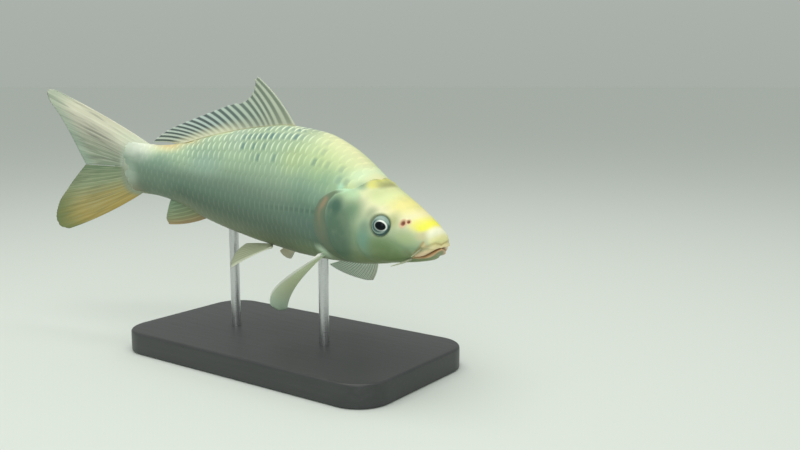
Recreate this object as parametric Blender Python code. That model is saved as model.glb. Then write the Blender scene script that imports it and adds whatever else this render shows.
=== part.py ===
"""A koi carp as a life-size still model on a plain display stand. Metres, +Z up.

The fish is first laid out straight: s is the distance behind the tip of the snout, y is to the
fish's left and z is up. bend() then carries every point onto the curved spine, which turns the
head to the fish's right, swings the tail out and holds the nose a little down. The frame's origin
is the middle of the stand's underside, and the fish faces +X.
"""

import math

import bmesh
import bpy
from mathutils import Vector

# ---- driving dimensions ----
BODY = 0.260  # snout to the root of the tail fin, the standard length
SPINE_HEIGHT = 0.104  # the spine over the table, at the middle of the body
MIDDLE = 0.50  # share of BODY that stands over the origin
GAP = 0.0003  # clearance between pieces that meet
SIDES = 24  # points round a body section

# ---- the pose: how the spine turns (to the fish's right) and climbs towards the head, in degrees ----
TURN = ((-0.05, 10.0), (0.26, 10.0), (0.50, 1.5), (0.75, -10.0), (1.00, -15.5), (1.25, -9.0))
CLIMB = ((-0.05, -8.5), (0.26, -8.0), (0.50, -5.5), (0.75, -3.8), (1.00, -2.3), (1.25, -1.2))

# ---- the body's outlines, in shares of BODY: distance behind the snout, then the measure ----
BACK = ((0.0, 0.010), (0.03, 0.026), (0.08, 0.048), (0.14, 0.068), (0.20, 0.086), (0.26, 0.115),
        (0.32, 0.139), (0.40, 0.155), (0.49, 0.156), (0.60, 0.139), (0.72, 0.110), (0.84, 0.075),
        (0.92, 0.068), (1.00, 0.072), (1.03, 0.066))
BELLY = ((0.0, -0.030), (0.03, -0.046), (0.08, -0.058), (0.14, -0.076), (0.20, -0.095), (0.27, -0.112),
         (0.35, -0.126), (0.45, -0.134), (0.55, -0.132), (0.65, -0.122), (0.74, -0.104), (0.82, -0.076),
         (0.90, -0.062), (0.98, -0.058), (1.03, -0.054))
SIDE = ((0.0, 0.020), (0.03, 0.035), (0.08, 0.053), (0.14, 0.069), (0.20, 0.081), (0.28, 0.090),
        (0.36, 0.091), (0.46, 0.087), (0.56, 0.078), (0.66, 0.065), (0.76, 0.050), (0.86, 0.037),
        (0.94, 0.026), (1.00, 0.014), (1.03, 0.008))
WIDEST = ((0.0, -0.012), (0.10, -0.018), (0.25, -0.016), (0.45, 0.000), (0.75, 0.004), (1.03, 0.006))
NOSE = 0.030  # length over which the snout rounds off
UPPER_FULL, LOWER_FULL = 1.95, 2.15  # how square the sections are: 2 is an ellipse

# ---- where the flesh is parted ----
GILLS, SHOULDER, PELVIS, VENT, STALK_END = 0.272, 0.42, 0.60, 0.80, 1.03


def curve(stations, x):
    """The smooth line through (x, value) stations, level or straight beyond their ends."""
    if x <= stations[0][0]:
        return stations[0][1]
    if x >= stations[-1][0]:
        return stations[-1][1]
    i = max(k for k in range(len(stations) - 1) if stations[k][0] <= x)
    (x0, y0), (x1, y1) = stations[i], stations[i + 1]
    slope = (y1 - y0) / (x1 - x0)

    def tangent(k):
        if k in (0, len(stations) - 1):
            return slope
        before = (stations[k][1] - stations[k - 1][1]) / (stations[k][0] - stations[k - 1][0])
        after = (stations[k + 1][1] - stations[k][1]) / (stations[k + 1][0] - stations[k][0])
        return 0.0 if before * after <= 0 else 2 * before * after / (before + after)

    t = (x - x0) / (x1 - x0)
    m0, m1 = tangent(i) * (x1 - x0), tangent(i + 1) * (x1 - x0)
    return (y0 * (1 + 2 * t) + m0 * t) * (1 - t) ** 2 + (y1 * (3 - 2 * t) - m1 * (1 - t)) * t ** 2


# ---- the spine ----
STEP = 0.005
SPINE_FIRST, SPINE_LAST = -0.10, 1.40


def heading(share):
    """The direction in which the fish faces at this share of its length."""
    turn, climb = math.radians(curve(TURN, share)), math.radians(curve(CLIMB, share))
    level = math.cos(climb)
    return Vector((level * math.cos(turn), -level * math.sin(turn), math.sin(climb)))


def make_spine():
    """Points every STEP along the curved spine, with MIDDLE over the origin."""
    count = round((SPINE_LAST - SPINE_FIRST) / STEP)
    points = [Vector((0, 0, 0))]
    for k in range(count):
        points.append(points[-1] - heading(SPINE_FIRST + (k + 0.5) * STEP) * STEP * BODY)
    start = points[round((MIDDLE - SPINE_FIRST) / STEP)] - Vector((0, 0, SPINE_HEIGHT))
    return [point - start for point in points]


SPINE = make_spine()


def station(s):
    """The spine's point, and its forward, left and up directions, s metres behind the snout."""
    at = (s / BODY - SPINE_FIRST) / STEP
    k = min(max(int(at), 0), len(SPINE) - 2)
    forward = heading(s / BODY)
    left = Vector((0, 0, 1)).cross(forward).normalized()
    return SPINE[k].lerp(SPINE[k + 1], at - k), forward, left, forward.cross(left)


def bend(point):
    """A point of the straight fish, (s, y, z), carried to its place on the curved fish."""
    here, _, left, up = station(point[0])
    return here + left * point[1] + up * point[2]


def hold(point, root):
    """As bend, for a stiff piece such as a paired fin: it turns as one with the body at root."""
    here, forward, left, up = station(root)
    return here - forward * (point[0] - root) + left * point[1] + up * point[2]


# ---- the body's surface ----
def section(s):
    """Top, belly, half width and widest height of the straight body, in metres."""
    share = max(s / BODY, 0.0)
    short = min(share / NOSE, 1.0)
    rounding = math.sqrt(1 - (1 - short) ** 2)
    widest = curve(WIDEST, share)
    top = widest + (curve(BACK, share) - widest) * rounding
    low = widest + (curve(BELLY, share) - widest) * rounding
    return top * BODY, low * BODY, curve(SIDE, share) * rounding * BODY, widest * BODY


def flank(s, angle, grow=0.0):
    """A point on the skin: angle 0 is the back, 90 the left flank and 180 the belly."""
    top, low, half, widest = section(s)
    turn = math.radians(angle)
    sine, cosine = math.sin(turn), math.cos(turn)
    full = UPPER_FULL if cosine > 0 else LOWER_FULL
    height = (top - widest if cosine > 0 else widest - low) + grow
    y = (half + grow) * math.copysign(abs(sine) ** (2 / full), sine)
    z = widest + height * math.copysign(abs(cosine) ** (2 / full), cosine)
    return Vector((s, y, z))


def angle_at(s, z):
    """The angle at which the left flank has this height."""
    low, high = 0.0, 180.0
    for _ in range(30):
        middle = (low + high) / 2
        if flank(s, middle).z > z:
            low = middle
        else:
            high = middle
    return (low + high) / 2


# ---- making objects ----
def material(name, colour, roughness, metallic=0.0):
    made = bpy.data.materials.new(name)
    made.use_nodes = True
    shader = made.node_tree.nodes["Principled BSDF"]
    shader.inputs["Base Color"].default_value = (*colour, 1)
    shader.inputs["Roughness"].default_value = roughness
    shader.inputs["Metallic"].default_value = metallic
    return made


def add_object(name, points, faces, finish):
    """A closed mesh through these points, its faces turned outwards."""
    mesh = bpy.data.meshes.new(name)
    mesh.from_pydata([tuple(point) for point in points], [], faces)
    shape = bmesh.new()
    shape.from_mesh(mesh)
    bmesh.ops.recalc_face_normals(shape, faces=shape.faces)
    shape.to_mesh(mesh)
    shape.free()
    mesh.materials.append(finish)
    mesh.shade_smooth()
    mesh.set_sharp_from_angle(angle=math.radians(50))
    made = bpy.data.objects.new(name, mesh)
    bpy.context.scene.collection.objects.link(made)
    return made


def loft(rings):
    """Closed faces over rings of equal length, with a fan at each end."""
    count = len(rings[0])
    points = [point for ring in rings for point in ring]
    faces = []
    for k in range(len(rings) - 1):
        for j in range(count):
            a, b = k * count + j, k * count + (j + 1) % count
            faces.append((a, b, b + count, a + count))
    for first in (0, (len(rings) - 1) * count):
        points.append(sum(rings[first // count], Vector()) / count)
        hub = len(points) - 1
        faces += [(hub, first + j, first + (j + 1) % count) for j in range(count)]
    return points, faces


def cut(piece, cutter, name, solver="EXACT"):
    """Takes cutter's shape out of piece, and hides the cutter."""
    cutter.hide_render = True
    cutter.display_type = "WIRE"
    boolean = piece.modifiers.new(name, "BOOLEAN")
    boolean.operation = "DIFFERENCE"
    boolean.solver = solver
    boolean.object = cutter


def body_stations(first, last):
    """Distances behind the snout for the rings from first to last, close together at the snout."""
    spacing = (0.0015, 0.006, 0.013, 0.022, 0.034, 0.050, 0.068, 0.088, 0.11, 0.135, 0.16, 0.185, 0.21, 0.235)
    even = [0.26 + 0.03 * k for k in range(26)]
    inner = [share for share in (*spacing, *even) if first + 0.006 < share < last - 0.006]
    return [share * BODY for share in (first, *inner, last)]


def body_length(name, first, last, finish, grow=0.0):
    """One length of the body, from share first to share last."""
    rings = [
        [bend(flank(s, 360 * j / SIDES, grow)) for j in range(SIDES)]
        for s in body_stations(first, last)
    ]
    return add_object(name, *loft(rings), finish)


# ---- flesh ----
def make_flesh(finish):
    """Head, three lengths of trunk and the tail stalk, parted by thin cuts."""
    half_cut = GAP / 2 / BODY
    lengths = (
        ("head", 0.0004, GILLS - half_cut),
        ("trunk_front", GILLS + half_cut, SHOULDER - half_cut),
        ("trunk_middle", SHOULDER + half_cut, PELVIS - half_cut),
        ("trunk_rear", PELVIS + half_cut, VENT - half_cut),
        ("tail_stalk", VENT + half_cut, STALK_END),
    )
    return {name: body_length(name, first, last, finish) for name, first, last in lengths}


# ---- gill covers ----
# A cover is a shell on the cheek. Its outline is an oval in side view, squared off in front.
COVER_MIDDLE = (0.232, -0.018)
COVER_BACK, COVER_FRONT, COVER_UP, COVER_DOWN = 0.067, 0.040, 0.066, 0.078
COVER_PROUD, COVER_DEEP = 0.0006, 0.0016


SEAT_RISE = 0.003  # how far the shape that cuts a cover's seat stands out of the cheek


def cover_patch(name, side, outside, grow, finish, rims=22, rounds=4):
    """The cover's shell on one side: outer skin, inner skin and the rim between them."""
    spread = []
    for depth in (outside, -COVER_DEEP - 2 * grow):
        layer = []
        for r in range(1, rounds + 1):
            for j in range(rims):
                turn = 2 * math.pi * j / rims
                along = COVER_BACK if math.cos(turn) > 0 else COVER_FRONT
                tall = COVER_UP if math.sin(turn) > 0 else COVER_DOWN
                s = (COVER_MIDDLE[0] + along * math.cos(turn) * r / rounds) * BODY
                z = (COVER_MIDDLE[1] + tall * math.sin(turn) * r / rounds) * BODY
                s += 2 * grow * math.cos(turn) * r / rounds
                z += 2 * grow * math.sin(turn) * r / rounds
                point = flank(s, angle_at(s, z), depth)
                layer.append(bend((point.x, side * point.y, point.z)))
        s, z = COVER_MIDDLE[0] * BODY, COVER_MIDDLE[1] * BODY
        hub = flank(s, angle_at(s, z), depth)
        layer.append(bend((hub.x, side * hub.y, hub.z)))
        spread.append(layer)
    inner = len(spread[0])
    last = (rounds - 1) * rims
    faces = []
    for j in range(rims):
        k = (j + 1) % rims
        for base in (0, inner):
            faces.append((base + inner - 1, base + j, base + k))
            for a in range(base, base + last, rims):
                faces.append((a + j, a + rims + j, a + rims + k, a + k))
        faces.append((last + k, last + j, last + j + inner, last + k + inner))
    return add_object(name, spread[0] + spread[1], faces, finish)


def make_gill_covers(flesh, finish):
    """Both covers, let into the head and the trunk. Gives the shapes that cut their seats."""
    seats = []
    for name, side in (("gill_cover_left", 1), ("gill_cover_right", -1)):
        cover_patch(name, side, COVER_PROUD, 0.0, finish)
        seat = cover_patch(name + "_seat", side, SEAT_RISE, GAP, finish)
        cut(flesh["head"], seat, name)
        cut(flesh["trunk_front"], seat, name)
        seats.append(seat)
    return seats


# ---- eyes ----
EYE_AT = (0.133, 0.013)  # share behind the snout, and height
EYE_RADIUS = 0.0060
EYE_PROUD = 0.0024  # how far the eye stands out of the cheek


def ball(name, centre, radius, finish, rings=8, segments=14):
    bpy.ops.mesh.primitive_uv_sphere_add(segments=segments, ring_count=rings, radius=radius, location=centre)
    made = bpy.context.object
    made.name = made.data.name = name
    made.data.materials.append(finish)
    made.data.shade_smooth()
    return made


def eye_centre(side):
    """The eye's centre, sunk into the cheek square to its surface."""
    s, z = EYE_AT[0] * BODY, EYE_AT[1] * BODY
    angle = angle_at(s, z)
    surface = flank(s, angle)
    along = flank(s + 0.001, angle) - surface
    around = flank(s, angle + 1) - surface
    outward = along.cross(around).normalized()
    outward *= math.copysign(1, outward.y)
    centre = surface + outward * (EYE_PROUD - EYE_RADIUS)
    return hold(Vector((centre.x, side * centre.y, centre.z)), s)


def make_eyes(flesh, finish):
    for name, side in (("eye_left", 1), ("eye_right", -1)):
        ball(name, eye_centre(side), EYE_RADIUS, finish)
        cut(flesh["head"], ball(name + "_socket", eye_centre(side), EYE_RADIUS + GAP, finish), name)


# ---- tubes: lips and barbels ----
def tube(name, route, radii, finish, sides=8):
    """A closed tube along points of the straight head, with a radius at each."""
    rings = []
    for k, point in enumerate(route):
        ahead = route[min(k + 1, len(route) - 1)] - route[max(k - 1, 0)]
        across = ahead.cross(Vector((0, 0, 1)))
        across = across.normalized() if across.length > 1e-9 else Vector((0, 1, 0))
        over = across.cross(ahead).normalized()
        ring = []
        for j in range(sides):
            turn = -2 * math.pi * j / sides
            offset = across * math.cos(turn) + over * math.sin(turn)
            ring.append(hold(point + offset * radii[k], 0.1 * BODY))
        rings.append(ring)
    return add_object(name, *loft(rings), finish)


def on_curve(stations, count):
    """Points along a smooth route through a few (s, y, z) stations in shares of BODY."""
    axes = [[(k, station[axis]) for k, station in enumerate(stations)] for axis in range(3)]
    steps = [(len(stations) - 1) * k / (count - 1) for k in range(count)]
    return [Vector([curve(axis, step) for axis in axes]) * BODY for step in steps]


# The mouth slants down and back from the snout's tip to its corners.
UPPER_LIP = ((0.056, 0.037, -0.037), (0.034, 0.034, -0.021), (0.015, 0.021, -0.008), (0.007, 0.0, -0.003))
LOWER_LIP = ((0.056, 0.034, -0.046), (0.037, 0.030, -0.037), (0.021, 0.018, -0.027), (0.014, 0.0, -0.021))
LIP_RADIUS = 0.0020


def mirrored(stations):
    """A route from the left corner of the mouth round to the right one."""
    return [*stations, *[(s, -y, z) for s, y, z in stations[-2::-1]]]


def make_lips(flesh, finish):
    """Both lips, let into the head. Gives the room that each takes, for the barbels to clear."""
    rooms = []
    for name, stations, radius in (
        ("upper_lip", UPPER_LIP, LIP_RADIUS),
        ("lower_lip", LOWER_LIP, LIP_RADIUS * 0.85),
    ):
        route = on_curve(mirrored(stations), 15)
        taper = [math.sin(math.pi * (0.12 + 0.76 * k / 14)) ** 0.5 for k in range(15)]
        lip = tube(name, route, [radius * share for share in taper], finish)
        for room in rooms:
            cut(lip, room, room.name)
        rooms.append(tube(name + "_room", route, [radius * share + GAP for share in taper], finish))
        # The two grooves run into each other at the corners of the mouth, where EXACT loses the head.
        cut(flesh["head"], rooms[-1], name, "MANIFOLD")
    return rooms


def make_barbels(shells, finish):
    corner = ((0.058, 0.036, -0.040), (0.066, 0.046, -0.052), (0.086, 0.052, -0.064), (0.112, 0.054, -0.071))
    lip = ((0.034, 0.038, -0.020), (0.040, 0.044, -0.027), (0.052, 0.047, -0.034))
    for kind, stations, radius in (("corner", corner, 0.0009), ("lip", lip, 0.0006)):
        for name, side in (("left", 1), ("right", -1)):
            route = [Vector((p.x, side * p.y, p.z)) for p in on_curve(stations, 7)]
            radii = [radius * (1 - 0.6 * k / 6) for k in range(7)]
            barbel = tube(f"barbel_{kind}_{name}", route, radii, finish)
            for shell in shells:
                cut(barbel, shell, shell.name)


# ---- fins ----
FIN_EDGE = 0.0006  # a fin's thickness at its edge


def fin_plate(name, place, thick, finish, across, along=7):
    """A fin's solid: place(a, b) is its middle sheet, from root (b 0) to edge (b 1)."""
    sheet = [[place(i / across, j / along) for j in range(along + 1)] for i in range(across + 1)]
    sides = ([], [])
    for i in range(across + 1):
        for j in range(along + 1):
            da = sheet[min(i + 1, across)][j] - sheet[max(i - 1, 0)][j]
            db = sheet[i][min(j + 1, along)] - sheet[i][max(j - 1, 0)]
            normal = da.cross(db).normalized()
            half = (thick + (FIN_EDGE - thick) * min(1.0, 1.6 * j / along)) / 2
            sides[0].append(sheet[i][j] + normal * half)
            sides[1].append(sheet[i][j] - normal * half)
    points = sides[0] + sides[1]
    row, back = along + 1, len(sides[0])
    faces = []
    for i in range(across):
        for j in range(along):
            a = i * row + j
            faces.append((a, a + row, a + row + 1, a + 1))
            faces.append((back + a, back + a + 1, back + a + row + 1, back + a + row))
    rim = [i * row for i in range(across + 1)]
    rim += [across * row + j for j in range(1, along + 1)]
    rim += [i * row + along for i in range(across - 1, -1, -1)]
    rim += [j for j in range(along - 1, 0, -1)]
    for k, a in enumerate(rim):
        b = rim[(k + 1) % len(rim)]
        faces.append((b, a, back + a, back + b))
    return add_object(name, points, faces, finish)


# Fins on the middle line: stations run from the leading edge to the trailing edge.
# Each gives the ray's root and its tip as (s, z) shares of BODY.
DORSAL_ROOT = ((0, 0.485, 0.150), (0.25, 0.585, 0.134), (0.5, 0.690, 0.112), (0.75, 0.795, 0.086),
               (1, 0.895, 0.064))
DORSAL_TIP = ((0, 0.618, 0.256), (0.1, 0.636, 0.221), (0.25, 0.668, 0.192), (0.5, 0.772, 0.150),
              (0.75, 0.850, 0.114), (1, 0.915, 0.074))
ANAL_ROOT = ((0, 0.738, -0.098), (0.5, 0.790, -0.080), (1, 0.838, -0.062))
ANAL_TIP = ((0, 0.868, -0.133), (0.3, 0.877, -0.118), (0.65, 0.870, -0.094), (1, 0.858, -0.066))
UPPER_TAIL_ROOT = ((0, 0.945, 0.066), (0.2, 0.985, 0.060), (0.6, 1.000, 0.034), (1, 1.005, 0.0042))
UPPER_TAIL_TIP = ((0, 1.232, 0.197), (0.12, 1.260, 0.188), (0.35, 1.218, 0.136), (0.65, 1.172, 0.076),
                  (1, 1.118, 0.0042))
LOWER_TAIL_ROOT = ((0, 0.940, -0.056), (0.2, 0.972, -0.050), (0.6, 0.995, -0.026), (1, 1.005, 0.0030))
LOWER_TAIL_TIP = ((0, 1.205, -0.180), (0.15, 1.237, -0.162), (0.35, 1.234, -0.122), (0.65, 1.186, -0.066),
                  (1, 1.118, 0.0030))


def along_edge(stations, a):
    return Vector((curve([(k, s) for k, s, _ in stations], a), 0, curve([(k, z) for k, _, z in stations], a)))


def middle_fin(root, tip, bow, wave):
    """place(a, b) for a fin on the middle line: bow curves its first rays, wave swings its edge."""

    def place(a, b):
        start, end = along_edge(root, a), along_edge(tip, a)
        ray = end - start
        lift = Vector((-ray.z, 0, ray.x)) * bow * (1 - a) * 4 * b * (1 - b)
        point = (start + ray * b + lift) * BODY
        point.y = wave * BODY * b * b * math.sin(math.pi * (0.2 + 1.1 * a))
        return bend(point)

    return place


def make_middle_fins(shells, finish):
    fins = (
        ("dorsal_fin", DORSAL_ROOT, DORSAL_TIP, 0.06, 0.010, 0.0026, 14),
        ("anal_fin", ANAL_ROOT, ANAL_TIP, -0.05, 0.004, 0.0022, 8),
        ("tail_fin_upper", UPPER_TAIL_ROOT, UPPER_TAIL_TIP, 0.04, 0.008, 0.0030, 11),
        ("tail_fin_lower", LOWER_TAIL_ROOT, LOWER_TAIL_TIP, -0.04, 0.008, 0.0030, 11),
    )
    for name, root, tip, bow, wave, thick, across in fins:
        fin = fin_plate(name, middle_fin(root, tip, bow, wave), thick, finish, across)
        for shell in shells:
            cut(fin, shell, shell.name)


# ---- paired fins ----
# A paired fin is a fan of rays. They start along a short root and spread from the leading edge
# (a 0) to the trailing edge (a 1). Directions are (back, out, up) on the straight fish, and bow is
# how far the water bends the tips, as shares of a ray's length.
class Fan:
    def __init__(self, root, run, lead, trail, bow, length, shape):
        self.root, self.run, self.bow = Vector(root), Vector(run), Vector(bow)
        self.lead, self.trail = Vector(lead).normalized(), Vector(trail).normalized()
        self.length, self.shape = length, shape

    def place(self, side):
        """place(a, b) for the fin on this side: 1 is the left, -1 the right."""

        def point(a, b):
            ray = self.length * curve(self.shape, a)
            spot = self.root + self.run * (a - 0.5)
            spot += self.lead.slerp(self.trail, a) * ray * b + self.bow * ray * b * b
            return hold(Vector((spot.x, side * spot.y, spot.z)) * BODY, self.root.x * BODY)

        return point


PECTORAL_SHAPE = ((0, 0.97), (0.15, 1.0), (0.5, 0.97), (0.8, 0.88), (1, 0.76))
PELVIC_SHAPE = ((0, 1.0), (0.15, 0.99), (0.4, 0.90), (0.7, 0.76), (1, 0.58))
PAIRED_FINS = {
    "pectoral_fin_right": Fan((0.299, 0.058, -0.090), (0.012, 0.0, -0.028), (0.55, 0.70, -0.45),
                              (0.66, 0.42, -0.63), (-0.15, -0.25, -0.23), 0.193, PECTORAL_SHAPE),
    "pectoral_fin_left": Fan((0.299, 0.058, -0.090), (0.020, 0.0, -0.028), (0.16, 0.73, -0.66),
                             (0.71, 0.47, -0.52), (0.22, -0.26, -0.06), 0.180, PECTORAL_SHAPE),
    "pelvic_fin_right": Fan((0.505, 0.034, -0.126), (0.012, -0.012, 0.004), (0.88, 0.13, -0.45),
                            (0.99, 0.12, 0.04), (-0.06, -0.08, -0.05), 0.152, PELVIC_SHAPE),
    "pelvic_fin_left": Fan((0.505, 0.034, -0.126), (0.012, -0.012, 0.004), (0.57, 0.62, -0.53),
                           (0.70, 0.48, -0.54), (0.06, -0.05, 0.03), 0.150, PELVIC_SHAPE),
}


def make_paired_fins(shells, finish):
    for name, fan in PAIRED_FINS.items():
        fin = fin_plate(name, fan.place(1 if name.endswith("left") else -1), 0.0022, finish, 9)
        for shell in shells:
            cut(fin, shell, shell.name)


# ---- stand ----
BASE = (0.200, 0.105, 0.014)
BASE_CORNER, BASE_EDGE = 0.020, 0.0015
ROD_RADIUS = 0.0030
RODS = (("stand_rod_front", 0.37, "trunk_front"), ("stand_rod_rear", 0.665, "trunk_rear"))
ROD_IN_FISH, ROD_IN_BASE = 0.010, 0.009


def cylinder(name, low, high, radius, finish, sides=24):
    middle = (low + high) / 2
    bpy.ops.mesh.primitive_cylinder_add(
        vertices=sides, radius=radius, depth=(high - low).length, location=middle)
    made = bpy.context.object
    made.name = made.data.name = name
    made.data.materials.append(finish)
    made.data.shade_smooth()
    made.data.set_sharp_from_angle(angle=math.radians(50))
    return made


def make_base(finish):
    """A flat plate with round corners and a fine bevel round its edges."""
    half_x, half_y, height = BASE[0] / 2, BASE[1] / 2, BASE[2]
    rim = []
    for corner in range(4):
        sign_x, sign_y = ((1, 1), (-1, 1), (-1, -1), (1, -1))[corner]
        for k in range(6):
            turn = math.radians(90 * corner + 18 * k)
            rim.append((sign_x * (half_x - BASE_CORNER), sign_y * (half_y - BASE_CORNER), turn))
    rings = []
    for inset, z in ((BASE_EDGE, 0), (0, BASE_EDGE), (0, height - BASE_EDGE), (BASE_EDGE, height)):
        radius = BASE_CORNER - inset
        rings.append([Vector((x + radius * math.cos(t), y + radius * math.sin(t), z)) for x, y, t in rim])
    return add_object("stand_base", *loft(rings), finish)


def make_stand(flesh, base_finish, rod_finish):
    base = make_base(base_finish)
    for name, share, length in RODS:
        belly = bend(flank(share * BODY, 180))
        top = Vector((belly.x, belly.y, belly.z + ROD_IN_FISH))
        foot = Vector((belly.x, belly.y, BASE[2] - ROD_IN_BASE))
        cylinder(name, foot, top, ROD_RADIUS, rod_finish)
        above, below = Vector((0, 0, GAP)), Vector((0, 0, 0.02))
        socket = cylinder(name + "_socket", belly - below, top + above, ROD_RADIUS + GAP, rod_finish)
        bore = cylinder(name + "_bore", foot - above, foot + below, ROD_RADIUS + GAP, rod_finish)
        cut(flesh[length], socket, name)
        cut(base, bore, name)


def main():
    for old in list(bpy.data.objects):
        bpy.data.objects.remove(old)
    flesh_finish = material("flesh", (0.66, 0.68, 0.55), 0.38)
    fin_finish = material("fin", (0.68, 0.62, 0.50), 0.42)
    lip_finish = material("lip", (0.74, 0.52, 0.38), 0.40)
    eye_finish = material("eye", (0.05, 0.06, 0.06), 0.08)
    base_finish = material("stand_base", (0.10, 0.11, 0.11), 0.45)
    rod_finish = material("stand_rod", (0.62, 0.63, 0.64), 0.25, 1.0)

    flesh = make_flesh(flesh_finish)
    seats = make_gill_covers(flesh, flesh_finish)
    make_eyes(flesh, eye_finish)
    shells = [body_length("body_shell", 0.0002, STALK_END + 0.002, flesh_finish, GAP), *seats]
    rooms = make_lips(flesh, lip_finish)
    make_barbels(shells[:1] + rooms, lip_finish)
    make_middle_fins(shells, fin_finish)
    make_paired_fins(shells, fin_finish)
    make_stand(flesh, base_finish, rod_finish)


main()
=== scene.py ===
"""The looks of a life-size koi carp on its display stand: skin, scales, fins, eyes and barbels."""

import math

import bmesh
import bpy
import numpy as np
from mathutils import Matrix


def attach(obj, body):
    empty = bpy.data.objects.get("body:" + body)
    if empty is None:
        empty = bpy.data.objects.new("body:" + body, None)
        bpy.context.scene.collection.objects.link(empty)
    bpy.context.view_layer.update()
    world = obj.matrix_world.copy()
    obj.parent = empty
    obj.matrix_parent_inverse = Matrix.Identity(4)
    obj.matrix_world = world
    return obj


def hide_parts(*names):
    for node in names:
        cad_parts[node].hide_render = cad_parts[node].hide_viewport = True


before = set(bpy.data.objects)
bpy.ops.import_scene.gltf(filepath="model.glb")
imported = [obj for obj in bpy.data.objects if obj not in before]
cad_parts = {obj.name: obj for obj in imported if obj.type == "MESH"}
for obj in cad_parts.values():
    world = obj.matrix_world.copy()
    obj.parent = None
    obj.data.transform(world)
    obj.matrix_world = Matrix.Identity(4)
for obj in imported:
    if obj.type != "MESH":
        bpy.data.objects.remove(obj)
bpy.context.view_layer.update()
bpy.ops.object.select_all(action="DESELECT")

# ---- The room ----
# A pale seamless floor under soft lamps. The big lamp hangs over the fish, as the lid lamp of a
# tank does, so the back is bright and the belly lies in shade. Colours are in percent, and so are
# their places along a ramp.
FLOOR_RADIUS = 40
FLOOR_COLOUR, FLOOR_CLOUD = (71, 77, 72), (67, 73, 68)
SKY_LOW, SKY_HIGH = (38.8, 42.6, 39.2), (60, 60, 59)  # the low one meets the floor's far edge


def rgba(percent):
    """A colour as a socket takes it."""
    return (*(value / 100 for value in percent), 1)


class Wire:
    """An output of a shader node. Sums on it add Math nodes to the same tree."""

    def __init__(self, tree, socket=None):
        self.tree, self.socket = tree, socket

    def add(self, kind, sockets=(), out=0, **settings):
        """Another node: its settings come first, then the values or links of its sockets."""
        node = self.tree.nodes.new("ShaderNode" + kind)
        for name, value in settings.items():
            setattr(node, name, value)
        for name, value in dict(sockets).items():
            if isinstance(value, Wire):
                self.tree.links.new(value.socket, node.inputs[name])
            else:
                node.inputs[name].default_value = value
        return Wire(self.tree, node.outputs[out])

    def tag(self, name, out="Vector"):
        """What the vertices carry under this name."""
        return self.add("Attribute", out=out, attribute_name=name)

    def part(self, axis):
        return self.add("SeparateXYZ", {0: self}, axis)

    def maths(self, operation, *values):
        return self.add("Math", dict(enumerate(values)), operation=operation)

    def __add__(self, other):
        return self.maths("ADD", self, other)

    def __sub__(self, other):
        return self.maths("SUBTRACT", self, other)

    def __rsub__(self, other):
        return self.maths("SUBTRACT", other, self)

    def __mul__(self, other):
        return self.maths("MULTIPLY", self, other)

    def __truediv__(self, other):
        return self.maths("DIVIDE", self, other)

    __radd__, __rmul__ = __add__, __mul__

    def most(self, other):
        return self.maths("MAXIMUM", self, other)

    def smooth(self, low, high):
        """0 below low, 1 above high and a smooth rise between them."""
        values = {"Value": self, "From Min": low, "From Max": high}
        return self.add("MapRange", values, interpolation_type="SMOOTHSTEP")

    def mix(self, first, second):
        """The first colour where this is 0, and the second where it is 1."""
        ends = [value if isinstance(value, Wire) else rgba(value) for value in (first, second)]
        return self.add("Mix", {0: self, 6: ends[0], 7: ends[1]}, 2, data_type="RGBA")

    def ramp(self, stops):
        """The colour at this value. Each stop is a place, and its red, green and blue."""
        made = self.add("ValToRGB", {"Fac": self})
        elements = made.socket.node.color_ramp.elements
        while len(elements) < len(stops):
            elements.new(1.0)
        for element, (at, *colour) in zip(elements, stops):
            element.position, element.color = at / 100, rgba(colour)
        return made

    def noise(self, scale, detail=2.0):
        """Cloudy values around 0.5 over this place."""
        return self.add("TexNoise", {"Vector": self, "Scale": scale, "Detail": detail})


def finish_of(name, **numbers):
    """A new material, its shader, and a wire to start its nodes from. Numbers go on the shader."""
    made = bpy.data.materials.new(name)
    made.use_nodes = True
    shader = made.node_tree.nodes["Principled BSDF"]
    for label, value in numbers.items():
        shader.inputs[label.replace("_", " ")].default_value = value
    return made, shader, Wire(made.node_tree)


def feed(shader, socket, wire):
    wire.tree.links.new(wire.socket, shader.inputs[socket])


def bump(shader, height, distance, strength):
    """Bends the normal by this height, where 1 stands for this many metres."""
    values = {"Height": height, "Distance": distance, "Strength": strength}
    feed(shader, "Normal", height.add("Bump", values))


bpy.ops.mesh.primitive_circle_add(
    vertices=64, radius=FLOOR_RADIUS, fill_type="NGON", location=(0, 0, 0)
)
floor = bpy.context.object
floor.name = "room_floor"
paint, shader, start = finish_of("room_floor", Roughness=0.8, Specular_IOR_Level=0.0)
mottle = start.add("TexCoord", out="Object").noise(3.0, 3.0)
feed(shader, "Base Color", (mottle * 0.2).mix(FLOOR_COLOUR, FLOOR_CLOUD))
floor.data.materials.append(paint)

for name, place, aim, size, power, tint in (
    ("lamp_lid", (0.05, -0.15, 0.95), (0, 0, 0.1), 0.9, 5.6, (100, 97, 94)),
    ("lamp_front", (0.75, -1.15, 0.75), (0, 0, 0.1), 0.8, 3.1, (98, 98, 96)),
):
    bpy.ops.object.light_add(type="AREA", radius=size, location=place)
    lamp = bpy.context.object
    lamp.name = name
    lamp.data.size, lamp.data.energy, lamp.data.color = size, power, rgba(tint)[:3]
    lamp.visible_camera = False
    away_from = np.array(place) - np.array(aim)
    lamp.rotation_euler = (
        math.atan2(math.hypot(away_from[0], away_from[1]), away_from[2]),
        0,
        math.atan2(away_from[0], -away_from[1]),
    )
world = bpy.context.scene.world or bpy.data.worlds.new("room")
bpy.context.scene.world = world
world.use_nodes = True
sky = Wire(world.node_tree)
upward = sky.add("TexCoord").part(2)
feed(world.node_tree.nodes["Background"], "Color", upward.mix(SKY_LOW, SKY_HIGH))
bpy.context.scene.view_settings.view_transform = "Standard"

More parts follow.
